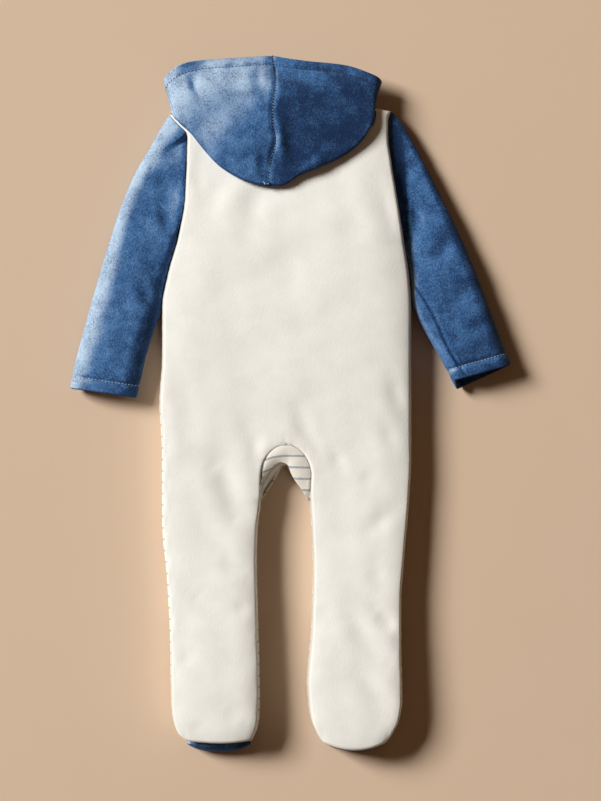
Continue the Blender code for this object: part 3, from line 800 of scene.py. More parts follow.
@dataclass
class Back:
    """The ivory back, one cut from the neck to both heels, creased as it lies."""

    form: BodyForm
    thick: float = 2.0
    flat: tuple[float, float] = (0.245, 0.615)
    area: float = 0.128
    creases: tuple[Crease, ...] = rows_of(
        Crease,
        (-26, 203, -36, 170, 1.27, 11.7, 3),
        (-62, 206, -76, 186, 0.94, 10.4),
        (-92, 214, -86, 200, 0.77, 7.8),
        (84, 200, 99, 158, 1.27, 11.7, -3),
        (58, 190, 74, 150, 0.68, 15.6, 4),
        (8, -8, 24, -42, 1.19, 7.8, 2),
        (41, -47, 48, -60, 0.94, 6.5),
        (97, 22, 107, -8, 1.19, 7.8, 2),
        (90, -24, 96, -38, 0.77, 6.5),
        (68, -64, 82, -74, 0.94, 9.1, 2),
        (-39, -28, -30, -52, 1.02, 7.8, -2),
        (-64, -60, -33, -112, 1.9, 11, 7),
        (-80, -58, -68, -66, 0.77, 9.1),
        (-104, 20, -96, -20, 0.77, 11.7, -3),
        (-56, -106, -50, -114, 0.77, 7.8),
        (-64, -142, -40, -160, 1.5, 9.1, 3),
        (-53, -196, -40, -191, 0.85, 7.8),
        (-91, -180, -84, -186, 0.68, 7.8),
        (-104, -236, -92, -246, 0.68, 10.4),
        (-60, -286, -44, -294, 0.77, 10.4, 2),
        (-92, -300, -84, -312, 0.68, 7.8),
        (92, -106, 78, -118, 1.02, 7.8),
        (80, -156, 84, -168, 0.68, 7.8),
        (83, -197, 101, -212, 1.9, 7.8, 2),
        (60, -206, 92, -240, 1.2, 9.1, 4),
        (70, -258, 97, -288, 1.1, 10.4, 4),
        (92, -294, 83, -308, 0.35, 9),
        (26, -190, 36, -204, 0.68, 9.1),
        (-40, 120, 10, 128, 0.6, 21, 4),
        (-70, 60, -20, 44, 0.55, 22, -5),
        (20, 70, 70, 52, 0.6, 20, 5),
    )

    def build(self, finish: Material) -> Object:
        """Makes the back.

        Args:
            finish: the pile cloth.

        Returns:
            The back.
        """
        cloth = Cloth(*(patch for side in Side for patch in BodyPanel(self.form, side, True).patches()))
        near, places = cloth.from_edge(), cloth.places
        swell = 0.6 * undulation(places, 31.0, 0.7) + 0.26 * undulation(places, 16.0, 2.9)
        folds = (pressed(self.creases, places) + swell) * smooth(near, 2, 16)
        cloth.relieve(folds + sewn_seam(near, places, 0.12))
        return cloth.shell("back_panel", self.thick, 0.12, finish)


@dataclass
class Front:
    """One striped half of the front. It rests on the surface and wraps a little over the side seam."""

    form: BodyForm
    side: Side
    thick: float = 1.6
    flat: tuple[float, float] = (0.13, 0.6)
    area: float = 0.066
    creases: dict = by_side(
        rows_of(
            Crease,
            (-70, 190, -92, 150, 1.2, 8, 3), (-40, 90, -64, 72, 0.9, 9),
            (-28, -30, -50, -60, 1.4, 7, 3), (-60, -140, -44, -156, 1.2, 7),
            (-100, 10, -90, -24, 0.9, 8), (-80, -196, -60, -200, 0.9, 7),
        ),
        rows_of(
            Crease,
            (62, 200, 86, 158, 1.2, 8, -3), (30, 120, 58, 96, 0.9, 9),
            (20, -34, 44, -62, 1.4, 7, -3), (54, -120, 70, -138, 1.1, 7),
            (88, 40, 98, 4, 0.9, 8), (40, -188, 66, -196, 0.9, 7),
        ),
    )

    def build(self, finish: Material) -> Object:
        """Makes the front half. Its creases stand up from the surface, and what rests there stays flat.

        Args:
            finish: the striped cloth.

        Returns:
            The front half.
        """
        cloth = Cloth(*BodyPanel(self.form, self.side, False).patches())
        near, places, up = cloth.from_edge(), cloth.places, cloth.normals()[:, 2]
        raised = np.maximum(-pressed(self.creases[self.side], places), 0) * smooth(-up, 0.2, 0.9)
        seam = sewn_seam(near, places, 0.7, 4.0) * smooth(up, -0.6, 0.2)
        cloth.relieve(-raised * smooth(near, 2, 12) + seam)
        return cloth.shell(f"front_half_{self.side.word}", self.thick, 0.1, finish)


@dataclass
class Gusset:
    """The striped crotch piece between the back's arch and the front's notch, folded over as it lies."""

    form: BodyForm
    thick: float = 1.2
    flat: tuple[float, float] = (0.09, 0.045)
    area: float = 0.0027
    rows: int = 121
    face_columns: int = 22
    under_columns: int = 9
    pitch: float = 10.75
    first_stripe_y: float = -50.2
    stripe_bend: float = 0.01
    # Along the piece, from -1 at the left leg to 1 at the right leg.
    fold_x: Line = Line(
        (-1, -28.2), (-0.85, -27.6), (-0.5, -19), (-0.2, -9), (0, -3), (0.3, 2), (0.7, 12), (1, 17.8),
    )
    fold_y: Line = Line(
        (-1, -93), (-0.85, -82), (-0.5, -63), (-0.2, -56), (0, -58), (0.3, -69), (0.7, -83), (1, -93),
    )
    sewn_x: Line = Line(
        (-1, -27.6), (-0.8, -24), (-0.45, -12), (-0.15, -6), (0, -4), (0.3, 1.5), (0.7, 11.4), (1, 17.5),
    )
    sewn_y: Line = Line(
        (-1, -94), (-0.8, -86), (-0.45, -68), (-0.15, -61), (0, -61), (0.3, -70), (0.7, -84), (1, -94),
    )
    # The turn of the fold: how far out and how far down it goes, in mm.
    turn_out: tuple[float, ...] = (0.55, 0.8, 0.45)
    turn_down: tuple[float, ...] = (-0.5, -1.5, -2.5)
    turn_cloth: float = 2.5
    fold_thick: float = 2.9

    def arch(self, way: Array) -> tuple[Array, Array]:
        """Follows the back's edge round the crotch.

        Args:
            way: how far along, from -1 at the left leg to 1 at the right leg.

        Returns:
            The edge's X and Y.
        """
        form, far = self.form, np.abs(way)
        y = np.where(
            far > 0.8,
            mix(form.fork_y, form.fork_low_y, (far - 0.8) / 0.2),
            form.fork_y + form.fork_rise * np.sin(np.clip((0.8 - far) / 0.8, 0, 1) * math.pi / 2),
        )
        left, right = form.fork_x(Side.LEFT, y), form.fork_x(Side.RIGHT, y)
        return np.where(way < 0, left, right), y

    def build(self, finish: Material) -> Object:
        """Makes the gusset.

        Args:
            finish: the striped cloth.

        Returns:
            The gusset.
        """
        form = self.form
        way = np.linspace(-0.97, 0.97, self.rows)[:, None]
        arch_x, arch_y = self.arch(way)
        fold_x, fold_y = self.fold_x(way), self.fold_y(way)
        sewn_x, sewn_y = self.sewn_x(way), self.sewn_y(way)
        run_x, run_y = fold_x - arch_x, fold_y - arch_y
        run = np.maximum(np.hypot(run_x, run_y), 0.5)
        out_x, out_y = run_x / run, run_y / run
        arch_z = form.back_z(arch_x, arch_y) + 0.6 * (1 - way**8)
        sewn_z = form.front_z(sewn_x, sewn_y) + 0.3
        fold_z = np.maximum(arch_z - 2.4, sewn_z + 3.2)
        t = np.linspace(0, 1, self.face_columns)[None]
        start = 0.15 / run
        x = arch_x + run_x * mix(start, 1, t)
        y = arch_y + run_y * mix(start, 1, t)
        z = mix(arch_z, fold_z, t) + 0.9 * np.sin(np.pi * t) * np.minimum(run / 12, 1)
        face = np.stack([x, y, z], -1)
        out, down = np.array(self.turn_out)[None], np.array(self.turn_down)[None]
        turn = np.stack([fold_x + out_x * out, fold_y + out_y * out, fold_z + down], -1)
        t = np.linspace(0, 1, self.under_columns)[None, 1:]
        low_z = mix(fold_z - self.fold_thick, sewn_z, t)
        under = np.stack([mix(fold_x, sewn_x, t), mix(fold_y, sewn_y, t), low_z], -1)
        places = np.concatenate([face, turn, under], 1)
        off = face[..., 0] - form.arch_x
        bend = np.where(off < 0, self.stripe_bend, 0.1 * self.stripe_bend) * off**2
        v_face = face[..., 1] - self.first_stripe_y + bend
        v_turn = v_face[:, -1:] - self.turn_cloth * np.array((0.3, 0.6, 1.0))[None]
        v_under = self.pitch * (2 * (1 - t) + 0.45) + 0 * v_turn[:, :1]
        v = np.concatenate([v_face, v_turn, v_under], 1)
        cloth = Cloth(Patch(places, np.stack([places[..., 0], v], -1)))
        near = cloth.from_edge()
        soft = 0.35 * undulation(cloth.places, 7.0, 1.9) * smooth(near, 0.5, 5)
        return cloth.relieve(soft - 0.25 * bell(near, 1.5)).shell("gusset_folded", self.thick, 0.1, finish)


@dataclass
class Placket:
    """The strip behind the front opening and the row of fastened press studs on it."""

    form: BodyForm
    thick: float = 1.6
    half: float = 11.0
    over_front: float = 1.3
    low_y: float = -50.0
    high_y: float = 252.0
    flat: tuple[float, float] = (0.022, 0.302)
    rows: int = 152
    columns: int = 13
    stud_count: int = 7
    stud_sides: int = 48
    stud_first_y: float = 238.0
    stud_last_y: float = -38.0
    # The stud's cap from its middle out and up: how far out, and how high over its lowest face.
    cap: tuple[tuple[float, float], ...] = (
        (0.0, 0.12), (1.6, 0.1), (2.5, 0.06), (2.9, 0.22), (3.2, 0.22), (3.5, 0.02), (4.3, 0.0),
        (4.75, 0.12), (5.0, 0.42), (4.9, 0.75), (4.6, 0.9), (0.0, 0.9),
    )

    def strip(self, finish: Material) -> Object:
        """Makes the strip.

        Args:
            finish: the striped cloth.

        Returns:
            The strip.
        """
        y = np.linspace(self.low_y, self.high_y, self.rows)[:, None]
        x = self.form.middle_x + self.half * np.linspace(-1, 1, self.columns)[None]
        z = self.form.front_z(self.form.middle_x - self.half - 1, y) + self.over_front
        places = np.stack([x + 0 * y, y + 0 * x, z + 0 * x], -1)
        cloth = Cloth(Patch(places, places[..., :2], flip=True))
        return cloth.shell("placket_strip", self.thick, 0.1, finish)

    def stud(self, number: int, finish: Material) -> Object:
        """Makes one stud.

        Args:
            number: its place, 1 at the neck.
            finish: the stud's plastic.

        Returns:
            The stud's cap.
        """
        y = mix(self.stud_first_y, self.stud_last_y, (number - 1) / (self.stud_count - 1))
        low = float(self.form.front_z(self.form.middle_x - self.half - 1, y))
        turn = np.linspace(0, 2 * math.pi, self.stud_sides, endpoint=False)[None]
        radius, height = np.array(self.cap).T[:, :, None]
        x = self.form.middle_x + radius * np.cos(turn)
        places = np.stack([x, y + radius * np.sin(turn), low + height + 0 * turn], -1)
        grid = Cloth(Patch(places, places[..., :2], flip=True, closed=True))
        return mesh_object(f"stud_{number}", grid.places, grid.quads, grid.flat, finish)


# ---- sleeves ----


class SleeveRing(NamedTuple):
    """A section of a sleeve, from its outer edge to its inner edge, with its height and its lip."""

    outer_x: float
    outer_y: float
    inner_x: float | None
    inner_y: float
    top: float
    lip: float


SLEEVE_RINGS = {
    Side.LEFT: rows_of(
        SleeveRing,
        (-124.5, 256, None, 136, 20.5, 0),
        (-139, 230, None, 121, 20.5, 0),
        (-157, 194, None, 105, 22, 0),
        (-172, 151, None, 89, 24.5, 0),
        (-185, 107, -129.5, 67, 26, 0),
        (-197, 64.5, -136.5, 45, 25, 0),
        (-205, 33, -142, 21, 23.5, 0),
        (-208.5, 14, -146, 5, 22, 0),
    ),
    Side.RIGHT: rows_of(
        SleeveRing,
        (105, 265, None, 137, 14.5, 0),
        (117, 245, None, 124, 15, 0),
        (134, 212, None, 109, 17, 0),
        (152, 177, None, 94, 19.5, 0),
        (169, 140, 121, 79, 21.5, 0),
        (184, 102, 131.5, 60, 23, 1),
        (197, 67, 144, 38, 24, 4),
        (208.8, 36.5, 157.5, 13, 23, 9),
    ),
}


@dataclass
class Sleeve:
    """A long sleeve, sewn into the armhole, with a turned hem at its open cuff."""

    form: BodyForm
    side: Side
    rings: tuple[SleeveRing, ...]
    creases: tuple[Crease, ...]
    under_creases: tuple[Crease, ...]
    flat: tuple[float, float]
    area: float
    inner_roll: float
    outer_roll: float
    thick: float = 2.0
    soft_share: float = 0.4
    seam_gap: float = 0.4
    touch_gap: float = 0.8
    hem: Hem = Hem(
        depth=11.0, thick=3.3, roll=0.45, roll_half=4.5, ditch=0.7, ditch_half=1.7,
        waves=0.25, wave_mm=4.0, seed=5.0,
    )
    lowest_stitch: float = 0.6
    rows: int = 126
    around: int = 52

    def sections(self) -> Array:
        """Lays out the armhole and the table's rings.

        Returns:
            A row of places for each, over the top and back underneath.
        """
        form, way = self.form, self.side.value
        share = crowded(self.around, 0.75)
        y = mix(form.underarm_y, form.shoulder_top(self.side), share)
        x = form.side_x(self.side, y)
        y = mix(form.underarm_y, form.shoulder_y(x, 0.0), share)
        outside = x + way * self.seam_gap
        top = np.stack([outside, y, form.back_z(x, y)], -1)
        under = np.stack([outside, y, form.front_z(x, y)], -1)
        found = [np.concatenate([top, under[-2:0:-1]])]
        for ring in self.rings:
            inner_x = ring.inner_x
            if inner_x is None:
                inner_x = float(form.side_x(self.side, ring.inner_y)) + way * self.touch_gap
            inner, outer = np.array((inner_x, ring.inner_y)), np.array((ring.outer_x, ring.outer_y))
            width = float(np.hypot(*(outer - inner)))
            rise = rolled(share * width, self.inner_roll) * rolled((1 - share) * width, self.outer_roll)
            arc = rolled(np.minimum(share, 1 - share) * width, 0.5 * width)
            rise, crown = rise[:, None], mix(rise, arc, self.soft_share)[:, None]
            flat = mix(inner, outer, share[:, None])
            drawn = np.array((-way * ring.lip * 0.4, ring.lip * 0.9)) * (1 - share[:, None])
            top = np.hstack([flat + drawn * np.minimum(2 * rise, 1), mix(form.seam_z, ring.top, crown)])
            under = np.hstack([flat, form.seam_z * (1 - rise)])
            found.append(np.concatenate([top, under[-2:0:-1]]))
        return np.array(found)

    def build(self, finish: Material) -> tuple[Object, Array]:
        """Makes the sleeve.

        Args:
            finish: the melange pile cloth.

        Returns:
            The sleeve, and the line of its hem stitches in mm.
        """
        coarse = self.sections()
        along = run_along(coarse[:, self.around // 2])
        even = np.linspace(0, 1, self.rows)
        at = mix(0, along[-1], mix(even, smooth(even, 0, 1), 0.45))
        fine = through(coarse, along, at)
        step = np.linalg.norm(np.diff(fine, axis=1, append=fine[:, :1]), axis=2)
        u = np.cumsum(step, 1) - step
        cloth = Cloth(Patch(fine, np.stack([u, 0 * u + at[:, None]], -1), self.side is Side.RIGHT, True))
        places, up, (grid,) = cloth.places, cloth.normals()[:, 2], cloth.grids
        armhole, cuff = cloth.from_edge(grid[0]), cloth.from_edge(grid[-1])
        folds = pressed(self.creases, places) * smooth(up, -0.1, 0.45)
        below = np.maximum(-pressed(self.under_creases, places), 0) * smooth(-up, 0.2, 0.9)
        swell = 0.5 * undulation(places, 26.0, 1.3) * smooth(up, -0.1, 0.45) * smooth(armhole, 2, 14)
        seam = sewn_seam(armhole, places, 0.9, 2.0) * smooth(up, 0.15, 0.8)
        cloth.relieve(folds + swell + seam - below + self.hem.relief(cuff, places) * smooth(up, -0.7, 0.2))
        edge = np.full(len(places), 0.15)
        edge[grid[-1]] = 0.9
        made = cloth.shell(f"sleeve_sewn_{self.side.word}", self.hem.doubled(cuff, self.thick), edge, finish)
        stitched = cloth.line_at(0, self.hem.depth, from_end=True, closed=True)
        stitched[:, 2] = np.maximum(stitched[:, 2], self.lowest_stitch)
        return made, stitched


# ---- feet ----


class SoleStation(NamedTuple):
    """A station along a sole: how far past the heel, how far under the leg, and how high."""

    past: float
    run: float
    height: float


@dataclass
class Foot:
    """A folded foot: the sole from the heel seam round its end and under the leg, and its upper."""

    form: BodyForm
    side: Side
    middle_x: float
    half: float
    bulge: float
    toe_y: float
    rounding: float = 16.0
    thick: float = 2.0
    upper_thick: float = 1.2
    upper_z: float = 3.0
    seam_gap: float = 0.4
    flat: tuple[float, float] = (0.062, 0.125)
    area: float = 0.0072
    upper_flat: tuple[float, float] = (0.058, 0.095)
    upper_area: float = 0.0046
    columns: int = 61
    end_rows: int = 34
    under_rows: int = 45
    first_on_floor: int = 6
    path: tuple[SoleStation, ...] = rows_of(
        SoleStation,
        (0, 0, 18), (0.55, 0, 16.6), (0.88, 0, 13.6), (1, 0, 8.5),
        (0.75, 0, 4), (0.4, 0, 1.6), (0, 0, 0), (0, 0.25, 0),
        (0, 0.5, 0), (0, 0.75, 0), (0, 1, 0),
    )

    def sole(self, finish: Material) -> Object:
        """Makes the sole.

        Args:
            finish: the melange pile cloth.

        Returns:
            The sole.
        """
        share = np.linspace(-1, 1, self.columns)
        heel_y = self.form.heel[self.side].edge_y
        rows = []
        for station in self.path:
            x = self.middle_x + self.half * share
            seam = self.form.heel_y(self.side, x)
            top = self.form.back_z(x, seam) - 2 * self.seam_gap
            low = station.height <= 1
            z = 0.6 * np.abs(share) ** 6 if low else np.minimum(station.height * (1 - 0.12 * share**4), top)
            if low:
                y = mix(heel_y + 4, self.toe_y, station.run) - self.rounding * station.run * share**4
            else:
                y = seam - self.seam_gap - self.bulge * station.past * (1 - 0.5 * share**4)
            rows.append(np.stack([x, y, top if station is self.path[0] else z], -1))
        rows = np.array(rows)
        along = run_along(rows[:, self.columns // 2])
        floor = along[self.first_on_floor]
        at = [np.linspace(0, floor, self.end_rows), np.linspace(floor, along[-1], self.under_rows)[1:]]
        at = np.concatenate(at)
        fine = through(rows, along, at)
        cloth = Cloth(Patch(fine, np.stack([fine[..., 0], 0 * fine[..., 0] + at[:, None]], -1), flip=True))
        near, across = cloth.from_edge(cloth.grids[0][0]), cloth.flat[:, 0]
        puckers = 0.15 * np.sin(across * 0.62 + 2.2 * np.sin(across * 0.21)) * bell(near, 7)
        cloth.relieve(puckers * smooth(near, 0, 2.5) - 0.5 * bell(near, 1.8))
        return cloth.shell(f"sole_folded_{self.side.word}", self.thick, 0.15, finish)

    def upper(self, finish: Material) -> Object:
        """Makes the foot's upper.

        Args:
            finish: the striped cloth.

        Returns:
            The upper.
        """
        share, run = np.linspace(-1, 1, 41)[None], np.linspace(0, 0.92, 60)[:, None]
        x = self.middle_x + (self.half - 2) * share + 0 * run
        start = self.form.heel[self.side].edge_y + 9
        y = mix(start, self.toe_y, run) - self.rounding * run * share**4
        places = np.stack([x, y, 0 * x + self.upper_z], -1)
        cloth = Cloth(Patch(places, places[..., :2], flip=True))
        cloth.relieve(0.18 * undulation(cloth.places, 12.0, 3.0))
        return cloth.shell(f"upper_folded_{self.side.word}", self.upper_thick, 0.1, finish)


# ---- hood ----


class HoodSection(NamedTuple):
    """A section of the hood: its place on the neck, its lower fold and its opening edge."""

    neck_x: float
    on_back: bool
    fold_x: float
    fold_y: float
    fold_z: float
    half: float
    open_x: float
    open_y: float
    open_z: float
    loft: float


HOOD_SECTIONS = {
    Side.LEFT: rows_of(
        HoodSection,
        (-4.6, True, -21.2, 206, 30.4, 3.4, -17.2, 330, 35.5, 3),
        (-8.2, True, -32, 207.5, 30.4, 3.4, -30, 329.5, 35.3, 3.1),
        (-15.4, True, -46, 212, 30.4, 3.4, -46, 328.5, 34.6, 3.3),
        (-27.6, True, -66, 224, 30.4, 3.4, -66, 327.5, 33, 3.1),
        (-38, True, -81.5, 240, 29, 3.4, -88, 326, 28.5, 2.5),
        (-46.5, True, -94, 255.5, 27.5, 3.4, -104, 322, 24, 1.5),
        (-50.3, True, -107, 268.5, 23.5, 3.6, -112.5, 316.5, 20, 0),
        (-46.5, False, -112.5, 280, 16, 4, -119, 311, 14.5, 0),
        (-38, False, -113.5, 290, 9, 4, -118.5, 304.5, 9, 0),
        (-27.6, False, -92, 292, 5, 1.5, -100, 298, 5.5, 0),
        (-20, False, -58, 284, 4, 1.2, -66, 290, 4.5, 0),
        (-12, False, -28, 276, 4, 1, -32, 280, 4.2, 0),
        (-5.4, False, -5.4, 268, 4, 0.3, -5.4, 272, 4.2, 0),
    ),
    Side.RIGHT: rows_of(
        HoodSection,
        (-4.2, True, -20.8, 206, 30.4, 3.4, -16.8, 330, 35.5, 3),
        (0, True, -6, 206.5, 30.4, 3.4, 0, 326.5, 35.3, 3.1),
        (8, True, 9, 216, 30.4, 3.4, 16, 324.5, 34.6, 3.3),
        (19, True, 29, 224, 30.4, 3.4, 36, 323.5, 33, 3.1),
        (29, True, 48, 233, 30, 3.4, 56, 320.5, 30.5, 2.5),
        (37.5, True, 65, 245.5, 29, 3.4, 72, 314.5, 27, 1.5),
        (41.7, True, 77, 264, 27, 3.6, 82, 310, 24, 0),
        (37.5, False, 79.5, 281, 19, 4, 86.5, 306, 16, 0),
        (29, False, 77.5, 288, 10, 4, 84, 302, 9, 0),
        (19, False, 74, 293, 5, 1.5, 80, 298, 5.5, 0),
        (11, False, 46, 288, 4, 1.2, 52, 292, 4.5, 0),
        (3, False, 18, 280, 4, 1, 22, 284, 4.2, 0),
        (-3.4, False, -3.4, 268, 4, 0.3, -3.4, 272, 4.2, 0),
    ),
}


@dataclass
class HoodHalf:
    """One half of the hood, folded down over the back with its opening towards +Y."""

    form: BodyForm
    side: Side
    sections: tuple[HoodSection, ...]
    creases: tuple[Crease, ...]
    flat: tuple[float, float] = (0.165, 0.175)
    area: float = 0.0225
    thick: float = 2.0
    hem: Hem = Hem(
        depth=9.0, thick=3.0, roll=0.4, roll_half=4.0, ditch=0.75, ditch_half=1.6,
        waves=0.35, wave_mm=4.5, seed=8.0,
    )
    neck_gap: float = 1.0
    lay_gap: float = 1.6
    clear_gap: float = 1.5
    # How full the lower fold is, and how far inside it the upper layer starts, on the back and beyond it.
    back_fold: tuple[float, float] = (1.2, 1.0)
    front_fold: tuple[float, float] = (0.4, 0.1)
    rows: int = 118
    columns: int = 150
    under_turns: tuple[float, ...] = (0.0, 0.12, 0.3, 0.5, 0.7, 0.86)
    fold_angles: tuple[float, ...] = (-90, -50, -15, 15, 50, 90)
    top_turns: tuple[float, ...] = (0.12, 0.28, 0.46, 0.66, 0.84, 0.95, 1.0)
    # The centre seam holds the cloth up like the ridge of a tent, and the opening is drawn in a little.
    tent: float = 7.5
    tent_rises: tuple[float, float] = (206, 286)
    tent_falls: tuple[float, float] = (292, 332)
    tent_half: float = 46.0
    drawn_in: float = 3.6
    drawn_from: tuple[float, float] = (250, 330)
    joined: float = 0.2
    seam_proud: float = 0.5
    seam_from: float = 0.6
    droop: float = 16.0
    droops_from: tuple[float, float] = (292, 352)
    droops_above: tuple[float, float] = (22, 32)
    # Of a section's places, those past the lower fold belong to the upper layer.
    upper_layer: tuple[float, float] = (9.5, 13.0)
    # How far the centre seam wanders off its straight line, along Y.
    wander: Line = Line(
        (206, 0), (231, 2.2), (246, 6.4), (260, 2.4), (276, 1.6), (299, 4.0), (328, 0.4), (332, 0),
    )
    wander_half: float = 30.0

    def path(self, section: HoodSection) -> Array:
        """Lays out one section.

        Args:
            section: its row of the table.

        Returns:
            Its places, from the neck round the lower fold to the opening edge.
        """
        form, way = self.form, self.side.value
        drop = form.back_neck_drop if section.on_back else form.front_neck_drop
        neck_y = float(form.shoulder_y(section.neck_x, drop))
        here = np.array([section.neck_x]), np.array([neck_y])
        neck_z = float((form.back_z if section.on_back else form.front_z)(*here)[0])
        neck = np.array((section.neck_x, neck_y + self.neck_gap, neck_z))
        fold = np.array((section.fold_x, section.fold_y, section.fold_z))
        end = np.array((section.open_x, section.open_y, section.open_z))
        up, half = np.array((0.0, 0.0, 1.0)), section.half
        turned = neck + (0, 3.6, 2.5)
        places = [neck, neck + (0, 2.5, 0.3)]
        for t in self.under_turns:
            place = mix(turned, fold - up * half, t)
            place[2] = mix(turned[2], fold[2] - half, t**0.5 if section.on_back else t)
            places.append(place)
        flat = (fold - end)[:2] if section.on_back else np.array((way, 0.0))
        flat = np.append(flat / np.hypot(*flat), 0.0)
        full, inset = self.back_fold if section.on_back else self.front_fold
        for a in map(math.radians, self.fold_angles):
            places.append(fold + flat * (math.cos(a) - 0.4) * half * full + up * math.sin(a) * half)
        start = fold + up * half - flat * half * inset
        for t in self.top_turns:
            place = mix(start, end, t)
            place[2] += section.loft * math.sin(math.pi * min(t * 1.15, 1.0)) ** 0.8
            places.append(place)
        places = np.array(places)
        return self.lifted(places) if section.on_back else self.cleared(places)

    def lifted(self, places: Array) -> Array:
        """Lifts the under layer off the back.

        Args:
            places: one section's places.

        Returns:
            The same places, none too close to the back.
        """
        form = self.form
        x, y, z = places.T
        low = form.side_x(Side.LEFT, y), form.side_x(Side.RIGHT, y)
        inside = np.clip(x, *low)
        under = np.max([form.back_z(inside, y - back) for back in (0, 4, 8)], axis=0) + self.lay_gap
        lies = (y < form.shoulder_y(x, form.back_neck_drop) + 4) & (np.arange(len(places)) > 2)
        places[:, 2] = np.where(lies, np.maximum(z, under), z)
        return places

    def cleared(self, places: Array) -> Array:
        """Keeps the front of the hood clear of the front's shoulder line.

        Args:
            places: one section's places.

        Returns:
            The same places, none past the line.
        """
        line = self.form.shoulder_y(places[:, 0], self.form.front_neck_drop)
        clear = line + self.neck_gap + self.clear_gap
        places[1:, 1] = np.maximum(places[1:, 1], clear[1:])
        return places

    def build(self, finish: Material) -> tuple[Object, Array, Array]:
        """Makes the half.

        Args:
            finish: the melange pile cloth.

        Returns:
            The half, the line of its hem stitches, and the line of its centre seam, in mm.
        """
        coarse = np.array([self.path(section) for section in self.sections])
        number = np.arange(len(coarse), dtype=float)
        rows = through(coarse, number, mix(0, number[-1], np.linspace(0, 1, self.rows) ** 1.12))
        number = np.arange(rows.shape[1], dtype=float)
        fine = through(rows.transpose(1, 0, 2), number, np.linspace(0, number[-1], self.columns))
        fine = fine.transpose(1, 0, 2)
        fine[0, :, 0] -= self.side.value * self.joined
        on_top = smooth(np.linspace(0, number[-1], self.columns), *self.upper_layer)[None]
        off = fine[..., 0] - fine[:1, :, 0]
        fine[..., 0] += self.wander(fine[..., 1]) * on_top * bell(off, self.wander_half)
        y = fine[..., 1]
        rise = smooth(y, *self.tent_rises) * (1 - 0.75 * smooth(y, *self.tent_falls))
        fine[..., 2] += self.tent * on_top * rise * bell(off, self.tent_half)
        hangs = smooth(y, *self.droops_from) * smooth(fine[..., 2], *self.droops_above)
        fine[..., 2] -= self.droop * on_top * hangs
        fine[..., 1] -= self.drawn_in * on_top * smooth(y, *self.drawn_from)
        on_cloth = np.stack([run_along(fine), run_along(fine, 1)], -1)
        cloth = Cloth(Patch(fine, on_cloth, flip=self.side is Side.RIGHT))
        places, (grid,) = cloth.places, cloth.grids
        centre, opening = cloth.from_edge(grid[0]), cloth.from_edge(grid[:, -1])
        up = smooth(cloth.normals()[:, 2], 0.05, 0.5) * smooth(places[:, 2], 22, 28)
        swell = 0.6 * undulation(places, 22.0, 3.7) * smooth(centre, 2, 12)
        folds = pressed(self.creases, places) + swell + sewn_seam(centre, places, 0.8, 6.0)
        cloth.relieve((folds + self.hem.relief(opening, places)) * up)
        edge = np.full(len(places), 0.12)
        edge[grid[:, -1]] = 0.9
        made = cloth.shell(f"hood_sewn_{self.side.word}", self.hem.doubled(opening, self.thick), edge, finish)
        seam = cloth.places[grid[0]] + (0, 0, self.seam_proud)
        stitched = cloth.line_at(0, self.hem.depth, from_end=True, across=True)
        return made, stitched, seam[int(self.columns * self.seam_from) :]


# ---- finishes ----


def linear(sheet: str, alpha: float = 1.0) -> tuple[float, float, float, float]:
    """Turns a hex sRGB colour into linear RGBA."""
    parts = [int(sheet[i : i + 2], 16) / 255 for i in (1, 3, 5)]
    return (*(c / 12.92 if c <= 0.04045 else ((c + 0.055) / 1.055) ** 2.4 for c in parts), alpha)


def add_node(tree: bpy.types.NodeTree, kind: str, inputs: dict | None = None,
             **settings: object) -> bpy.types.Node:
    """Adds a node to a tree.

    Args:
        tree: the tree.
        kind: the node's type.
        inputs: for each input's name or number, a value or the output that it is linked to.
        **settings: the node's own settings.

    Returns:
        The node.
    """
    node = tree.nodes.new(kind)
    for key, value in settings.items():
        setattr(node, key, value)
    for key, value in (inputs or {}).items():
        if isinstance(value, Socket):
            tree.links.new(value, node.inputs[key])
        else:
            node.inputs[key].default_value = value
    return node


class Step(Enum):
    """A kind of node: its type, its inputs in the order that they are given, its output and its settings."""

    NOISE = "ShaderNodeTexNoise", ("Vector", "Scale", "Detail", "Roughness"), 0, {}
    STRETCH = "ShaderNodeMapping", ("Vector", "Scale"), 0, {}
    WINDOW = "ShaderNodeMapRange", ("Value", "From Min", "From Max"), 0, {"interpolation_type": "SMOOTHSTEP"}
    BLEND = "ShaderNodeMix", (0, 6, 7), 2, {"data_type": "RGBA"}
    BUMP = "ShaderNodeBump", ("Height", "Distance", "Strength", "Normal"), 0, {}
    FACING = "ShaderNodeNewGeometry", (), "Normal", {}
    ALONG = "ShaderNodeVectorMath", (0, 1), "Value", {"operation": "DOT_PRODUCT"}
    ADD = "ShaderNodeMath", (0, 1), 0, {"operation": "ADD"}
    LESS = "ShaderNodeMath", (0, 1), 0, {"operation": "SUBTRACT"}
    TIMES = "ShaderNodeMath", (0, 1), 0, {"operation": "MULTIPLY"}
    FRACTION = "ShaderNodeMath", (0,), 0, {"operation": "FRACT"}
    SIZE = "ShaderNodeMath", (0,), 0, {"operation": "ABSOLUTE"}
    WAVE = "ShaderNodeMath", (0,), 0, {"operation": "SINE"}


def grain(size_mm: float) -> float:
    """The noise scale that gives features of about this size."""
    return 1.0 / (size_mm * MM)


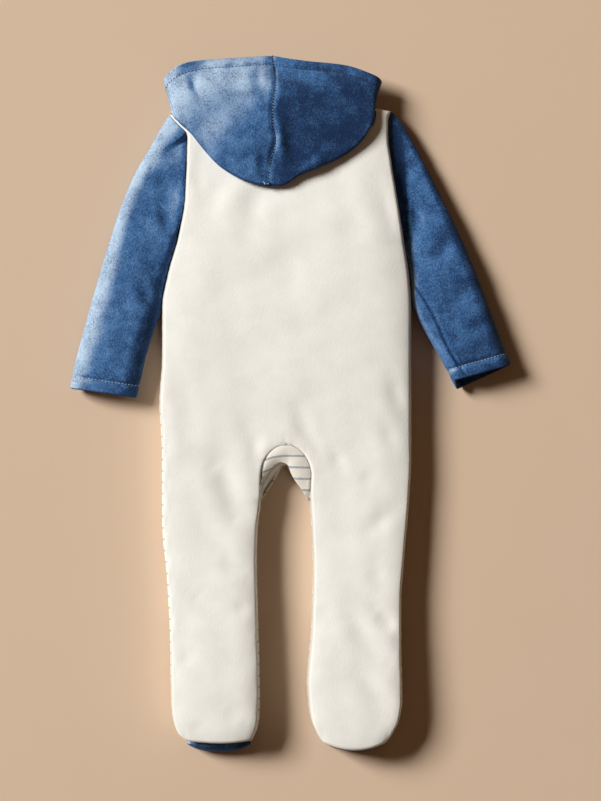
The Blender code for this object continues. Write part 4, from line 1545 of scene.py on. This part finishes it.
class Finisher:
    """A material under construction: its tree, its shader and its coordinates."""

    def __init__(self, name: str) -> None:
        """Starts a material.

        Args:
            name: the finish, as it is on the real thing.
        """
        self.made = bpy.data.materials.new(name)
        self.made.use_nodes = True
        self.tree = self.made.node_tree
        self.shader = self.tree.nodes["Principled BSDF"]
        self.place = add_node(self.tree, "ShaderNodeTexCoord").outputs["Object"]

    def add(self, step: Step, *values: object) -> Socket:
        """Adds a node.

        Args:
            step: its kind.
            values: a number, a colour or another node's output for each of its inputs.

        Returns:
            Its output.
        """
        kind, names, output, settings = step.value
        return add_node(self.tree, kind, dict(zip(names, values)), **settings).outputs[output]

    def clouds(self, size_mm: float) -> Socket:
        """Patches where the nap lies one way or the other, from 0 to 1."""
        return self.add(Step.WINDOW, self.add(Step.NOISE, self.place, grain(size_mm), 3, 0.55), 0.35, 0.68)

    def facing_light(self, light_way: tuple[float, float, float], low: float, high: float) -> Socket:
        """How far a face turns towards the light, from 0 at low to 1 at high: the mask of painted light and
        shade.

        Args:
            light_way: the way towards the key light, in the object's own axes.
            low: the cosine where the effect starts.
            high: the cosine where it is full.

        Returns:
            The share.
        """
        turned = self.add(Step.ALONG, self.add(Step.FACING), tuple(Vector(light_way).normalized()))
        return self.add(Step.WINDOW, turned, low, high)

    def pile(self, fine: Socket, strength: float) -> Socket:
        """The relief of a pile cloth: tufts of about 2 mm, with the pile's own fine relief on them."""
        tufts = self.add(Step.NOISE, self.place, grain(1.9), 2, 0.6)
        tufts = self.add(Step.BUMP, tufts, 0.35 * MM, 0.45)
        return self.add(Step.BUMP, fine, 0.16 * MM, strength, tufts)

    def shade(self, **values: object) -> None:
        """Sets the shader's sockets.

        Args:
            values: a value or an output for each socket, where a name's low lines stand for spaces.
        """
        for key, value in values.items():
            socket = self.shader.inputs[key.replace("_", " ")]
            if isinstance(value, Socket):
                self.tree.links.new(value, socket)
            else:
                socket.default_value = value


@dataclass(frozen=True)
class Velour:
    """Plain cotton velour: the short pile scatters light, so that edges turned away glow softly."""

    name: str
    base: str
    shade: str
    # The darker colour of the painted shade on faces turned towards the light.
    lit_side_shade: str = "#CFCCC3"
    pile_mm: float = 0.7
    clouds_mm: float = 16.0
    # The way towards the key light, which steers the painted shade.
    light_way: tuple[float, float, float] = (-0.93, 0.25, 0.27)

    def make(self) -> Material:
        """Makes the material.

        Returns:
            The velour.
        """
        mat = Finisher(self.name)
        pile = mat.add(Step.NOISE, mat.place, grain(self.pile_mm), 2, 0.7)
        nap = mat.add(Step.TIMES, mat.clouds(self.clouds_mm), 0.4)
        share = mat.add(Step.ADD, nap, mat.add(Step.TIMES, pile, 0.55))
        plain = mat.add(Step.BLEND, share, linear(self.base), linear(self.shade))
        # Faces turned towards the light, as on the sides towards the left, are painted a darker colour:
        # painted shade that holds down their brightness.
        lit_side_shade = mat.facing_light(self.light_way, 0.5, 0.95)
        mat.shade(
            Base_Color=mat.add(Step.BLEND, lit_side_shade, plain, linear(self.lit_side_shade)),
            Roughness=0.92, Sheen_Weight=0.15, Sheen_Roughness=0.45, Sheen_Tint=linear("#FFFDF6"),
            Specular_IOR_Level=0.2, Normal=mat.pile(pile, 0.55),
        )
        return mat.made


@dataclass(frozen=True)
class MelangeVelour:
    """Melange cotton velour: dark blue and pale fibres lie side by side in short mixed flecks."""

    name: str
    dark: str
    middle: str
    light: str
    # The pale colour of the painted highlight on faces turned towards the light.
    painted_highlight: str = "#BCD0E0"
    fleck_mm: float = 1.15
    hair_mm: float = 0.65
    clouds_mm: float = 14.0
    # The way towards the key light, which steers the painted highlight and painted shade.
    light_way: tuple[float, float, float] = (-0.7, 0.42, 0.62)

    def make(self) -> Material:
        """Makes the material.

        Returns:
            The melange velour.
        """
        mat = Finisher(self.name)
        short = mat.add(Step.STRETCH, mat.place, (1.0, 0.6, 1.0))
        flecks = mat.add(Step.NOISE, short, grain(self.fleck_mm), 3, 0.75)
        long = mat.add(Step.STRETCH, mat.place, (0.5, 1.0, 1.0))
        hairs = mat.add(Step.NOISE, long, grain(self.hair_mm), 2, 0.7)
        tone = mat.add(Step.ADD, mat.add(Step.TIMES, flecks, 0.72), mat.add(Step.TIMES, hairs, 0.28))
        nap = mat.add(Step.TIMES, mat.add(Step.LESS, mat.clouds(self.clouds_mm), 0.5), 0.1)
        tone = mat.add(Step.ADD, tone, nap)
        # Faces turned towards the light get a painted highlight in a pale colour, and faces turned away get
        # painted shade.
        painted_highlight = mat.add(Step.TIMES, mat.facing_light(self.light_way, 0.6, 0.9), mat.add(Step.WINDOW, tone, 0.2, 0.62))
        painted_shade = mat.add(Step.LESS, 1.0, mat.facing_light(self.light_way, 0.28, 0.6))
        tone = mat.add(Step.LESS, tone, mat.add(Step.TIMES, painted_shade, 0.14))
        middle = mat.add(Step.WINDOW, tone, 0.3, 0.6)
        body = mat.add(Step.BLEND, middle, linear(self.dark), linear(self.middle))
        mixed = mat.add(Step.BLEND, mat.add(Step.WINDOW, tone, 0.55, 0.85), body, linear(self.light))
        mat.shade(
            Base_Color=mat.add(Step.BLEND, mat.add(Step.TIMES, painted_highlight, 0.75), mixed, linear(self.painted_highlight)),
            Roughness=0.9, Sheen_Weight=0.35, Sheen_Roughness=0.4, Sheen_Tint=linear("#C9DCF2"),
            Specular_IOR_Level=0.2, Normal=mat.pile(hairs, 0.6),
        )
        return mat.made


@dataclass(frozen=True)
class StripedJersey:
    """Fine cotton jersey with thin heathered stripes knitted in: the eye sees soft broken lines."""

    name: str
    base: str
    stripe: str
    fleck: str = "#DCD8CB"
    pitch_mm: float = 10.75
    stripe_mm: float = 2.0
    waver_mm: float = 0.9
    # One wale of the knit, and one course of it, drawn a little coarse so that they show.
    wale_mm: float = 0.9
    course_mm: float = 0.72

    def make(self) -> Material:
        """Makes the material.

        Returns:
            The striped jersey.
        """
        mat = Finisher(self.name)
        on_cloth = add_node(mat.tree, "ShaderNodeUVMap", uv_map="cloth").outputs["UV"]
        parts = add_node(mat.tree, "ShaderNodeSeparateXYZ", {"Vector": on_cloth}).outputs
        fibre = mat.add(Step.NOISE, mat.place, grain(0.8), 2, 0.7)
        # The stripe's edge wavers by a thread where loops of both yarns meet.
        waver = mat.add(Step.LESS, mat.add(Step.NOISE, mat.place, grain(1.6), 1, 0.5), 0.5)
        along = mat.add(Step.ADD, parts["Y"], mat.add(Step.TIMES, waver, self.waver_mm * MM))
        along = mat.add(Step.ADD, mat.add(Step.TIMES, along, grain(self.pitch_mm)), 40.5)
        off = mat.add(Step.SIZE, mat.add(Step.LESS, mat.add(Step.FRACTION, along), 0.5))
        half = 0.5 * self.stripe_mm / self.pitch_mm
        line = mat.add(Step.LESS, 1.0, mat.add(Step.WINDOW, off, half * 0.8, half * 1.2))
        broken = mat.add(Step.TIMES, line, mat.add(Step.WINDOW, fibre, 0.15, 0.5))
        share = mat.add(Step.TIMES, fibre, 0.5)
        plain = mat.add(Step.BLEND, share, linear(self.base), linear(self.fleck))
        wale = mat.add(Step.WAVE, mat.add(Step.TIMES, parts["X"], math.pi * grain(self.wale_mm)))
        loops = mat.add(Step.WAVE, mat.add(Step.TIMES, parts["Y"], 2 * math.pi * grain(self.course_mm)))
        knit = mat.add(Step.ADD, mat.add(Step.SIZE, wale), mat.add(Step.TIMES, loops, 0.25))
        stitch = mat.add(Step.BUMP, knit, 0.12 * MM, 0.45)
        mat.shade(
            Base_Color=mat.add(Step.BLEND, broken, plain, linear(self.stripe)),
            Roughness=0.86, Sheen_Weight=0.15, Sheen_Roughness=0.5, Specular_IOR_Level=0.25,
            Normal=mat.add(Step.BUMP, fibre, 0.12 * MM, 0.4, stitch),
        )
        return mat.made


@dataclass(frozen=True)
class Thread:
    """Twisted sewing thread: a soft gleam along each stitch, and painted shade in small noise flecks for the
    furrows of its twist.
    """

    name: str
    colour: str
    groove_shade: str
    twist_mm: float = 0.35

    def make(self) -> Material:
        """Makes the material.

        Returns:
            The thread.
        """
        mat = Finisher(self.name)
        twist = mat.add(Step.NOISE, mat.place, grain(self.twist_mm), 1, 0.5)
        mat.shade(
            # The darker colour is painted shade for the furrows of the twist.
            Base_Color=mat.add(Step.BLEND, twist, linear(self.colour), linear(self.groove_shade)),
            Roughness=0.6, Sheen_Weight=0.05, Specular_IOR_Level=0.4,
            Normal=mat.add(Step.BUMP, twist, 0.06 * MM, 0.5),
        )
        return mat.made


@dataclass(frozen=True)
class StudPlastic:
    """Moulded stud caps: satin, with the faint orange-peel of the mould and a soft highlight."""

    name: str
    colour: str
    cloudy: str = "#CFC9B8"
    peel_mm: float = 0.9
    cloud_mm: float = 3.0

    def make(self) -> Material:
        """Makes the material.

        Returns:
            The plastic.
        """
        mat = Finisher(self.name)
        peel = mat.add(Step.NOISE, mat.place, grain(self.peel_mm), 2, 0.5)
        cloud = mat.add(Step.TIMES, mat.add(Step.NOISE, mat.place, grain(self.cloud_mm), 2, 0.5), 0.3)
        mat.shade(
            Base_Color=mat.add(Step.BLEND, cloud, linear(self.colour), linear(self.cloudy)),
            Roughness=0.34, Specular_IOR_Level=0.5, Coat_Weight=0.12,
            Normal=mat.add(Step.BUMP, peel, 0.03 * MM, 0.35),
        )
        return mat.made


@dataclass(frozen=True)
class PaintedBoard:
    """Matt painted board: even and without gloss, with the faintest clouds in the paint."""

    name: str
    colour: str
    cloudy: str = "#CBB297"
    cloud_mm: float = 60.0

    def make(self) -> Material:
        """Makes the material.

        Returns:
            The board.
        """
        mat = Finisher(self.name)
        cloud = mat.add(Step.TIMES, mat.add(Step.NOISE, mat.place, grain(self.cloud_mm), 3, 0.5), 0.12)
        board = mat.add(Step.BLEND, cloud, linear(self.colour), linear(self.cloudy))
        mat.shade(Base_Color=board, Roughness=0.85, Specular_IOR_Level=0.2)
        return mat.made


# ---- stitches ----


class Stitches:
    """Rows of small stitches, set along lines by one node tree."""

    def __init__(self) -> None:
        """Builds the node tree: a line in, evenly spaced small stitches out."""
        tree = self.tree = bpy.data.node_groups.new("Stitch row", "GeometryNodeTree")
        face = tree.interface
        face.new_socket("Geometry", in_out="INPUT", socket_type="NodeSocketGeometry")
        for name in ("Spacing", "Length", "Thickness"):
            face.new_socket(name, in_out="INPUT", socket_type="NodeSocketFloat")
        face.new_socket("Thread", in_out="INPUT", socket_type="NodeSocketMaterial")
        face.new_socket("Geometry", in_out="OUTPUT", socket_type="NodeSocketGeometry")
        given = add_node(tree, "NodeGroupInput").outputs
        line = add_node(tree, "GeometryNodeMeshToCurve", {"Mesh": given["Geometry"]}).outputs["Curve"]
        spaced = add_node(
            tree, "GeometryNodeResampleCurve", {"Curve": line, "Length": given["Spacing"]}, mode="LENGTH",
        ).outputs["Curve"]
        ball = {"Segments": 8, "Rings": 6, "Radius": 0.5}
        bead = add_node(tree, "GeometryNodeMeshUVSphere", ball).outputs["Mesh"]
        sizes = {0: given["Length"], 1: given["Thickness"], 2: given["Thickness"]}
        size = add_node(tree, "ShaderNodeCombineXYZ", sizes).outputs["Vector"]
        ahead = add_node(tree, "GeometryNodeInputTangent").outputs["Tangent"]
        turn = add_node(tree, "FunctionNodeAlignRotationToVector", {"Vector": ahead}, axis="X")
        # The stitches' sizes vary a little, by the random node's plain numbers, its inputs 2 and 3.
        limits = {2: 0.88, 3: 1.1, "Seed": 7}
        uneven = add_node(tree, "FunctionNodeRandomValue", limits, data_type="FLOAT").outputs[1]
        scaled = add_node(tree, "ShaderNodeVectorMath", {0: size, "Scale": uneven}, operation="SCALE")
        laid = add_node(tree, "GeometryNodeInstanceOnPoints", {
            "Points": spaced, "Instance": bead, "Rotation": turn.outputs["Rotation"],
            "Scale": scaled.outputs["Vector"],
        }).outputs["Instances"]
        real = add_node(tree, "GeometryNodeRealizeInstances", {"Geometry": laid}).outputs["Geometry"]
        soft = add_node(tree, "GeometryNodeSetShadeSmooth", {"Geometry": real}).outputs["Geometry"]
        done = add_node(tree, "GeometryNodeSetMaterial", {"Geometry": soft, "Material": given["Thread"]})
        add_node(tree, "NodeGroupOutput", {"Geometry": done.outputs["Geometry"]})

    def row(self, name: str, line: Array, thread: Material, spacing: float = 3.2,
            length: float = 2.2, thick: float = 0.75) -> Object:
        """Sews a row of stitches.

        Args:
            name: the row's name.
            line: its places in mm.
            thread: its material.
            spacing: from one stitch to the next, in mm.
            length: a stitch's length, in mm.
            thick: the thread's thickness, in mm.

        Returns:
            The stitches as one plain mesh.
        """
        mesh = bpy.data.meshes.new(name)
        mesh.from_pydata((line * MM).tolist(), [(i, i + 1) for i in range(len(line) - 1)], [])
        mesh.materials.append(thread)
        made = put(name, mesh)
        sewing = made.modifiers.new("stitch row", "NODES")
        sewing.node_group = self.tree
        values = {"Spacing": spacing * MM, "Length": length * MM, "Thickness": thick * MM, "Thread": thread}
        for item in self.tree.interface.items_tree:
            if item.in_out == "INPUT" and item.name in values:
                sewing[item.identifier] = values[item.name]
        bpy.context.view_layer.update()
        graph = bpy.context.evaluated_depsgraph_get()
        sewn = bpy.data.meshes.new_from_object(made.evaluated_get(graph))
        made.modifiers.clear()
        made.data = sewn
        return made


# ---- studio ----


@dataclass(frozen=True)
class Studio:
    """The plain pale floor, the soft light from the upper left, and the camera straight above."""

    floor_colour: str = "#D9C1A9"
    floor_half: float = 3.0
    aim: tuple[float, float] = (0.0095, 0.0019)
    camera_height: float = 2.5
    lens: float = 118.0
    sensor: float = 36.0
    key_from: tuple[float, float, float] = (-10.7, 5.4, 7.8)
    key_size: float = 4.8
    key_power: float = 3080.0
    key_colour: str = "#FFFDF9"
    fill_from: tuple[float, float, float] = (1.3, -0.7, 1.9)
    fill_size: float = 2.2
    fill_power: float = 0.8
    fill_colour: str = "#FFE2C0"
    sky: float = 0.075
    sky_colour: str = "#FFC896"

    def floor(self) -> None:
        """Lays the floor."""
        mesh, far = bpy.data.meshes.new("floor"), self.floor_half
        corners = (-far, -far), (far, -far), (far, far), (-far, far)
        mesh.from_pydata([(x, y, 0) for x, y in corners], [], [(0, 1, 2, 3)])
        mesh.materials.append(PaintedBoard("Matt painted board", self.floor_colour).make())
        put("floor", mesh)

    def lamp(self, name: str, start: tuple[float, float, float], size: float, power: float,
             colour: str) -> None:
        """Hangs a soft square lamp that faces the middle of the floor.

        Args:
            name: the lamp's name.
            start: where it hangs, in metres.
            size: its side, in metres.
            power: its power in watts.
            colour: its colour.
        """
        light = bpy.data.lights.new(name, "AREA")
        light.size, light.energy, light.color = size, power, linear(colour)[:3]
        made = put(name, light)
        made.location = start
        made.rotation_euler = (-Vector(start)).to_track_quat("-Z", "Y").to_euler()

    def build(self) -> None:
        """Sets the floor, the lights, the sky and the camera."""
        self.floor()
        self.lamp("key", self.key_from, self.key_size, self.key_power, self.key_colour)
        self.lamp("fill", self.fill_from, self.fill_size, self.fill_power, self.fill_colour)
        world = bpy.data.worlds.new("studio")
        world.use_nodes = True
        sky = world.node_tree.nodes["Background"].inputs
        sky["Color"].default_value, sky["Strength"].default_value = linear(self.sky_colour), self.sky
        bpy.context.scene.world = world
        camera = bpy.data.cameras.new("camera")
        camera.lens, camera.sensor_width, camera.sensor_fit = self.lens, self.sensor, "AUTO"
        made = put("camera", camera)
        made.location = (*self.aim, self.camera_height)
        bpy.context.scene.camera = made
        bpy.context.scene.view_settings.view_transform = "Standard"


# ---- the suit ----


@dataclass
class Wardrobe:
    """The finishes of the suit."""

    velour: Material
    blue: Material
    # The blue melange with painted shade, for the pieces on the side away from the light.
    blue_painted_shade: Material
    striped: Material
    stud: Material
    navy_thread: Material
    pale_thread: Material

    @classmethod
    def make(cls) -> "Wardrobe":
        """Makes them all.

        Returns:
            The finishes.
        """
        # A darker copy of the blue melange, with painted shade, for the right sleeve and the right hood half.
        turned = "Blue melange cotton velour, pile turned away"
        finishes = (
            Velour("Ivory cotton velour", "#F9FBF8", "#F0F1EB"),
            MelangeVelour("Blue melange cotton velour", "#1B3A69", "#4A7AB2", "#B6CDE2"),
            MelangeVelour(turned, "#18335E", "#4472A8", "#A5BDD6", light_way=(-0.8, 0.4, 0.42)),
            StripedJersey("Ivory jersey with heathered stripes", "#F3F1EA", "#A3ABB4"),
            StudPlastic("Satin ivory stud plastic", "#EAE5D6"),
            Thread("Navy sewing thread", "#16253F", "#0E1830"),
            Thread("Pale blue sewing thread", "#B9CBDC", "#8FA6BC"),
        )
        return cls(*(finish.make() for finish in finishes))


@dataclass
class Suit:
    """The whole suit, built piece by piece and declared to the frame."""

    form: BodyForm
    cloth: Wardrobe
    stitches: Stitches

    def declare(self, piece: Object, node: str) -> None:
        """Hangs a piece on the root and hides the solid that it stands for.

        Args:
            piece: the piece.
            node: the solid that it stands for.
        """
        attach(piece, "root")
        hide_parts(node)
        log.info("%s: %d faces", piece.name, len(piece.data.polygons))

    def trim(self, piece: Object) -> None:
        """Hangs a row of stitches on the root, with the rest of the suit."""
        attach(piece, "root")

    def body(self) -> None:
        """Builds the back, the fronts, the gusset, the placket and its studs."""
        cloth, form = self.cloth, self.form
        back = Back(form)
        self.declare(back.build(cloth.velour), "back")
        for side in Side:
            front = Front(form, side)
            made = front.build(cloth.striped)
            self.declare(made, f"front_{side.word}")
        gusset = Gusset(form)
        made = gusset.build(cloth.striped)
        self.declare(made, "crotch_gusset")
        placket = Placket(form)
        self.declare(placket.strip(cloth.striped), "placket")
        for number in range(1, placket.stud_count + 1):
            self.declare(placket.stud(number, cloth.stud), f"popper_{number}")

    def sleeves(self) -> None:
        """Builds the sleeves and their hem stitches."""
        cloth = self.cloth
        left = Sleeve(
            self.form, Side.LEFT, SLEEVE_RINGS[Side.LEFT],
            rows_of(
                Crease,
                (-146, 216, -98, 226, -3.0, 15, 0, 0),
                (-120, 180, -106, 158, 1.8, 6, 2),
                (-138, 106, -123, 86, 1.5, 6, 2),
                (-128, 216, -112, 196, 0.9, 7),
                (-160, 150, -138, 134, 0.8, 9, 3),
                (-184, 74, -160, 66, 0.7, 9, -3),
                (-170, 112, -150, 96, 0.6, 10),
            ),
            rows_of(Crease, (-150, 160, -128, 140, 1.2, 8), (-190, 70, -160, 58, 1.1, 8)),
            flat=(0.19, 0.215), area=0.035, inner_roll=17.0, outer_roll=20.0,
        )
        right = Sleeve(
            self.form, Side.RIGHT, SLEEVE_RINGS[Side.RIGHT],
            rows_of(
                Crease,
                (116, 113, 142, 68, 0.9, 1.3, -2, 0.5),
                (142, 68, 167, 25, 0.9, 1.3, 2, 0.5),
                (112, 190, 122, 168, 1.5, 6, -2),
                (120, 226, 108, 214, 0.9, 7),
                (148, 150, 132, 136, 1.0, 8, -3),
                (176, 108, 158, 96, 0.9, 8, 3),
                (188, 76, 176, 70, 0.7, 7),
            ),
            rows_of(Crease, (130, 168, 118, 140, 1.2, 8), (180, 70, 156, 52, 1.1, 8)),
            flat=(0.18, 0.2), area=0.031, inner_roll=9.0, outer_roll=12.0, soft_share=0.14,
        )
        for sleeve in (left, right):
            # The right sleeve takes the blue with painted shade.
            piece, hem = sleeve.build(cloth.blue if sleeve is left else cloth.blue_painted_shade)
            name = sleeve.side.word
            self.declare(piece, f"sleeve_{name}")
            self.trim(self.stitches.row(f"stitches_cuff_{name}", hem, cloth.pale_thread))

    def feet(self) -> None:
        """Builds the soles and the uppers of the folded feet."""
        cloth = self.cloth
        left = Foot(self.form, Side.LEFT, middle_x=-67.5, half=30, bulge=8.5, toe_y=-224)
        right = Foot(self.form, Side.RIGHT, middle_x=60.5, half=29, bulge=1.6, toe_y=-226)
        for foot in (left, right):
            name = foot.side.word
            sole = foot.sole(cloth.blue)
            self.declare(sole, f"sole_{name}")
            upper = foot.upper(cloth.striped)
            self.declare(upper, f"instep_{name}")

    def hood(self) -> None:
        """Builds the two halves of the hood and their stitches."""
        cloth = self.cloth
        left = HoodHalf(
            self.form, Side.LEFT, HOOD_SECTIONS[Side.LEFT],
            rows_of(
                Crease,
                (-92, 304, -86, 292, 1.6, 4, 1),
                (-30, 316, -24, 286, 0.9, 6, 2),
                (-60, 250, -34, 236, -0.9, 10, 3),
                (-82, 262, -60, 286, 0.7, 12, 3),
                (-26, 232, -24, 212, 1.1, 5),
            ),
        )
        right = HoodHalf(
            self.form, Side.RIGHT, HOOD_SECTIONS[Side.RIGHT],
            rows_of(
                Crease,
                (-10, 325, 46, 300, -1.6, 8, -4),
                (-8, 314, 34, 276, 1.3, 9, -4),
                (-9, 256, -6, 232, -1.8, 4.5, 1),
                (2, 262, 6, 230, 1.1, 7, 2),
                (12, 219, 32, 233, -1.5, 5, 2),
                (40, 292, 66, 284, 1.0, 8, 2),
                (22, 262, 56, 262, -0.9, 11, 4),
            ),
        )
        for half in (left, right):
            # The right half takes the blue with painted shade.
            piece, hem, seam = half.build(cloth.blue if half.side is Side.LEFT else cloth.blue_painted_shade)
            name = half.side.word
            self.declare(piece, f"hood_{name}")
            self.trim(self.stitches.row(f"stitches_mouth_{name}", hem, cloth.navy_thread))
            if half.side is Side.LEFT:
                row = self.stitches.row("stitches_hood_seam", seam, cloth.navy_thread, 2.8, 2.4, 0.95)
                self.trim(row)

    def build(self) -> None:
        """Builds everything."""
        self.body()
        self.sleeves()
        self.feet()
        self.hood()


def main() -> None:
    """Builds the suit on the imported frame, in its studio."""
    logging.basicConfig(level=logging.INFO, format="%(message)s")
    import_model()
    Studio().build()
    Suit(BodyForm(), Wardrobe.make(), Stitches()).build()


if __name__ == "__main__":
    main()
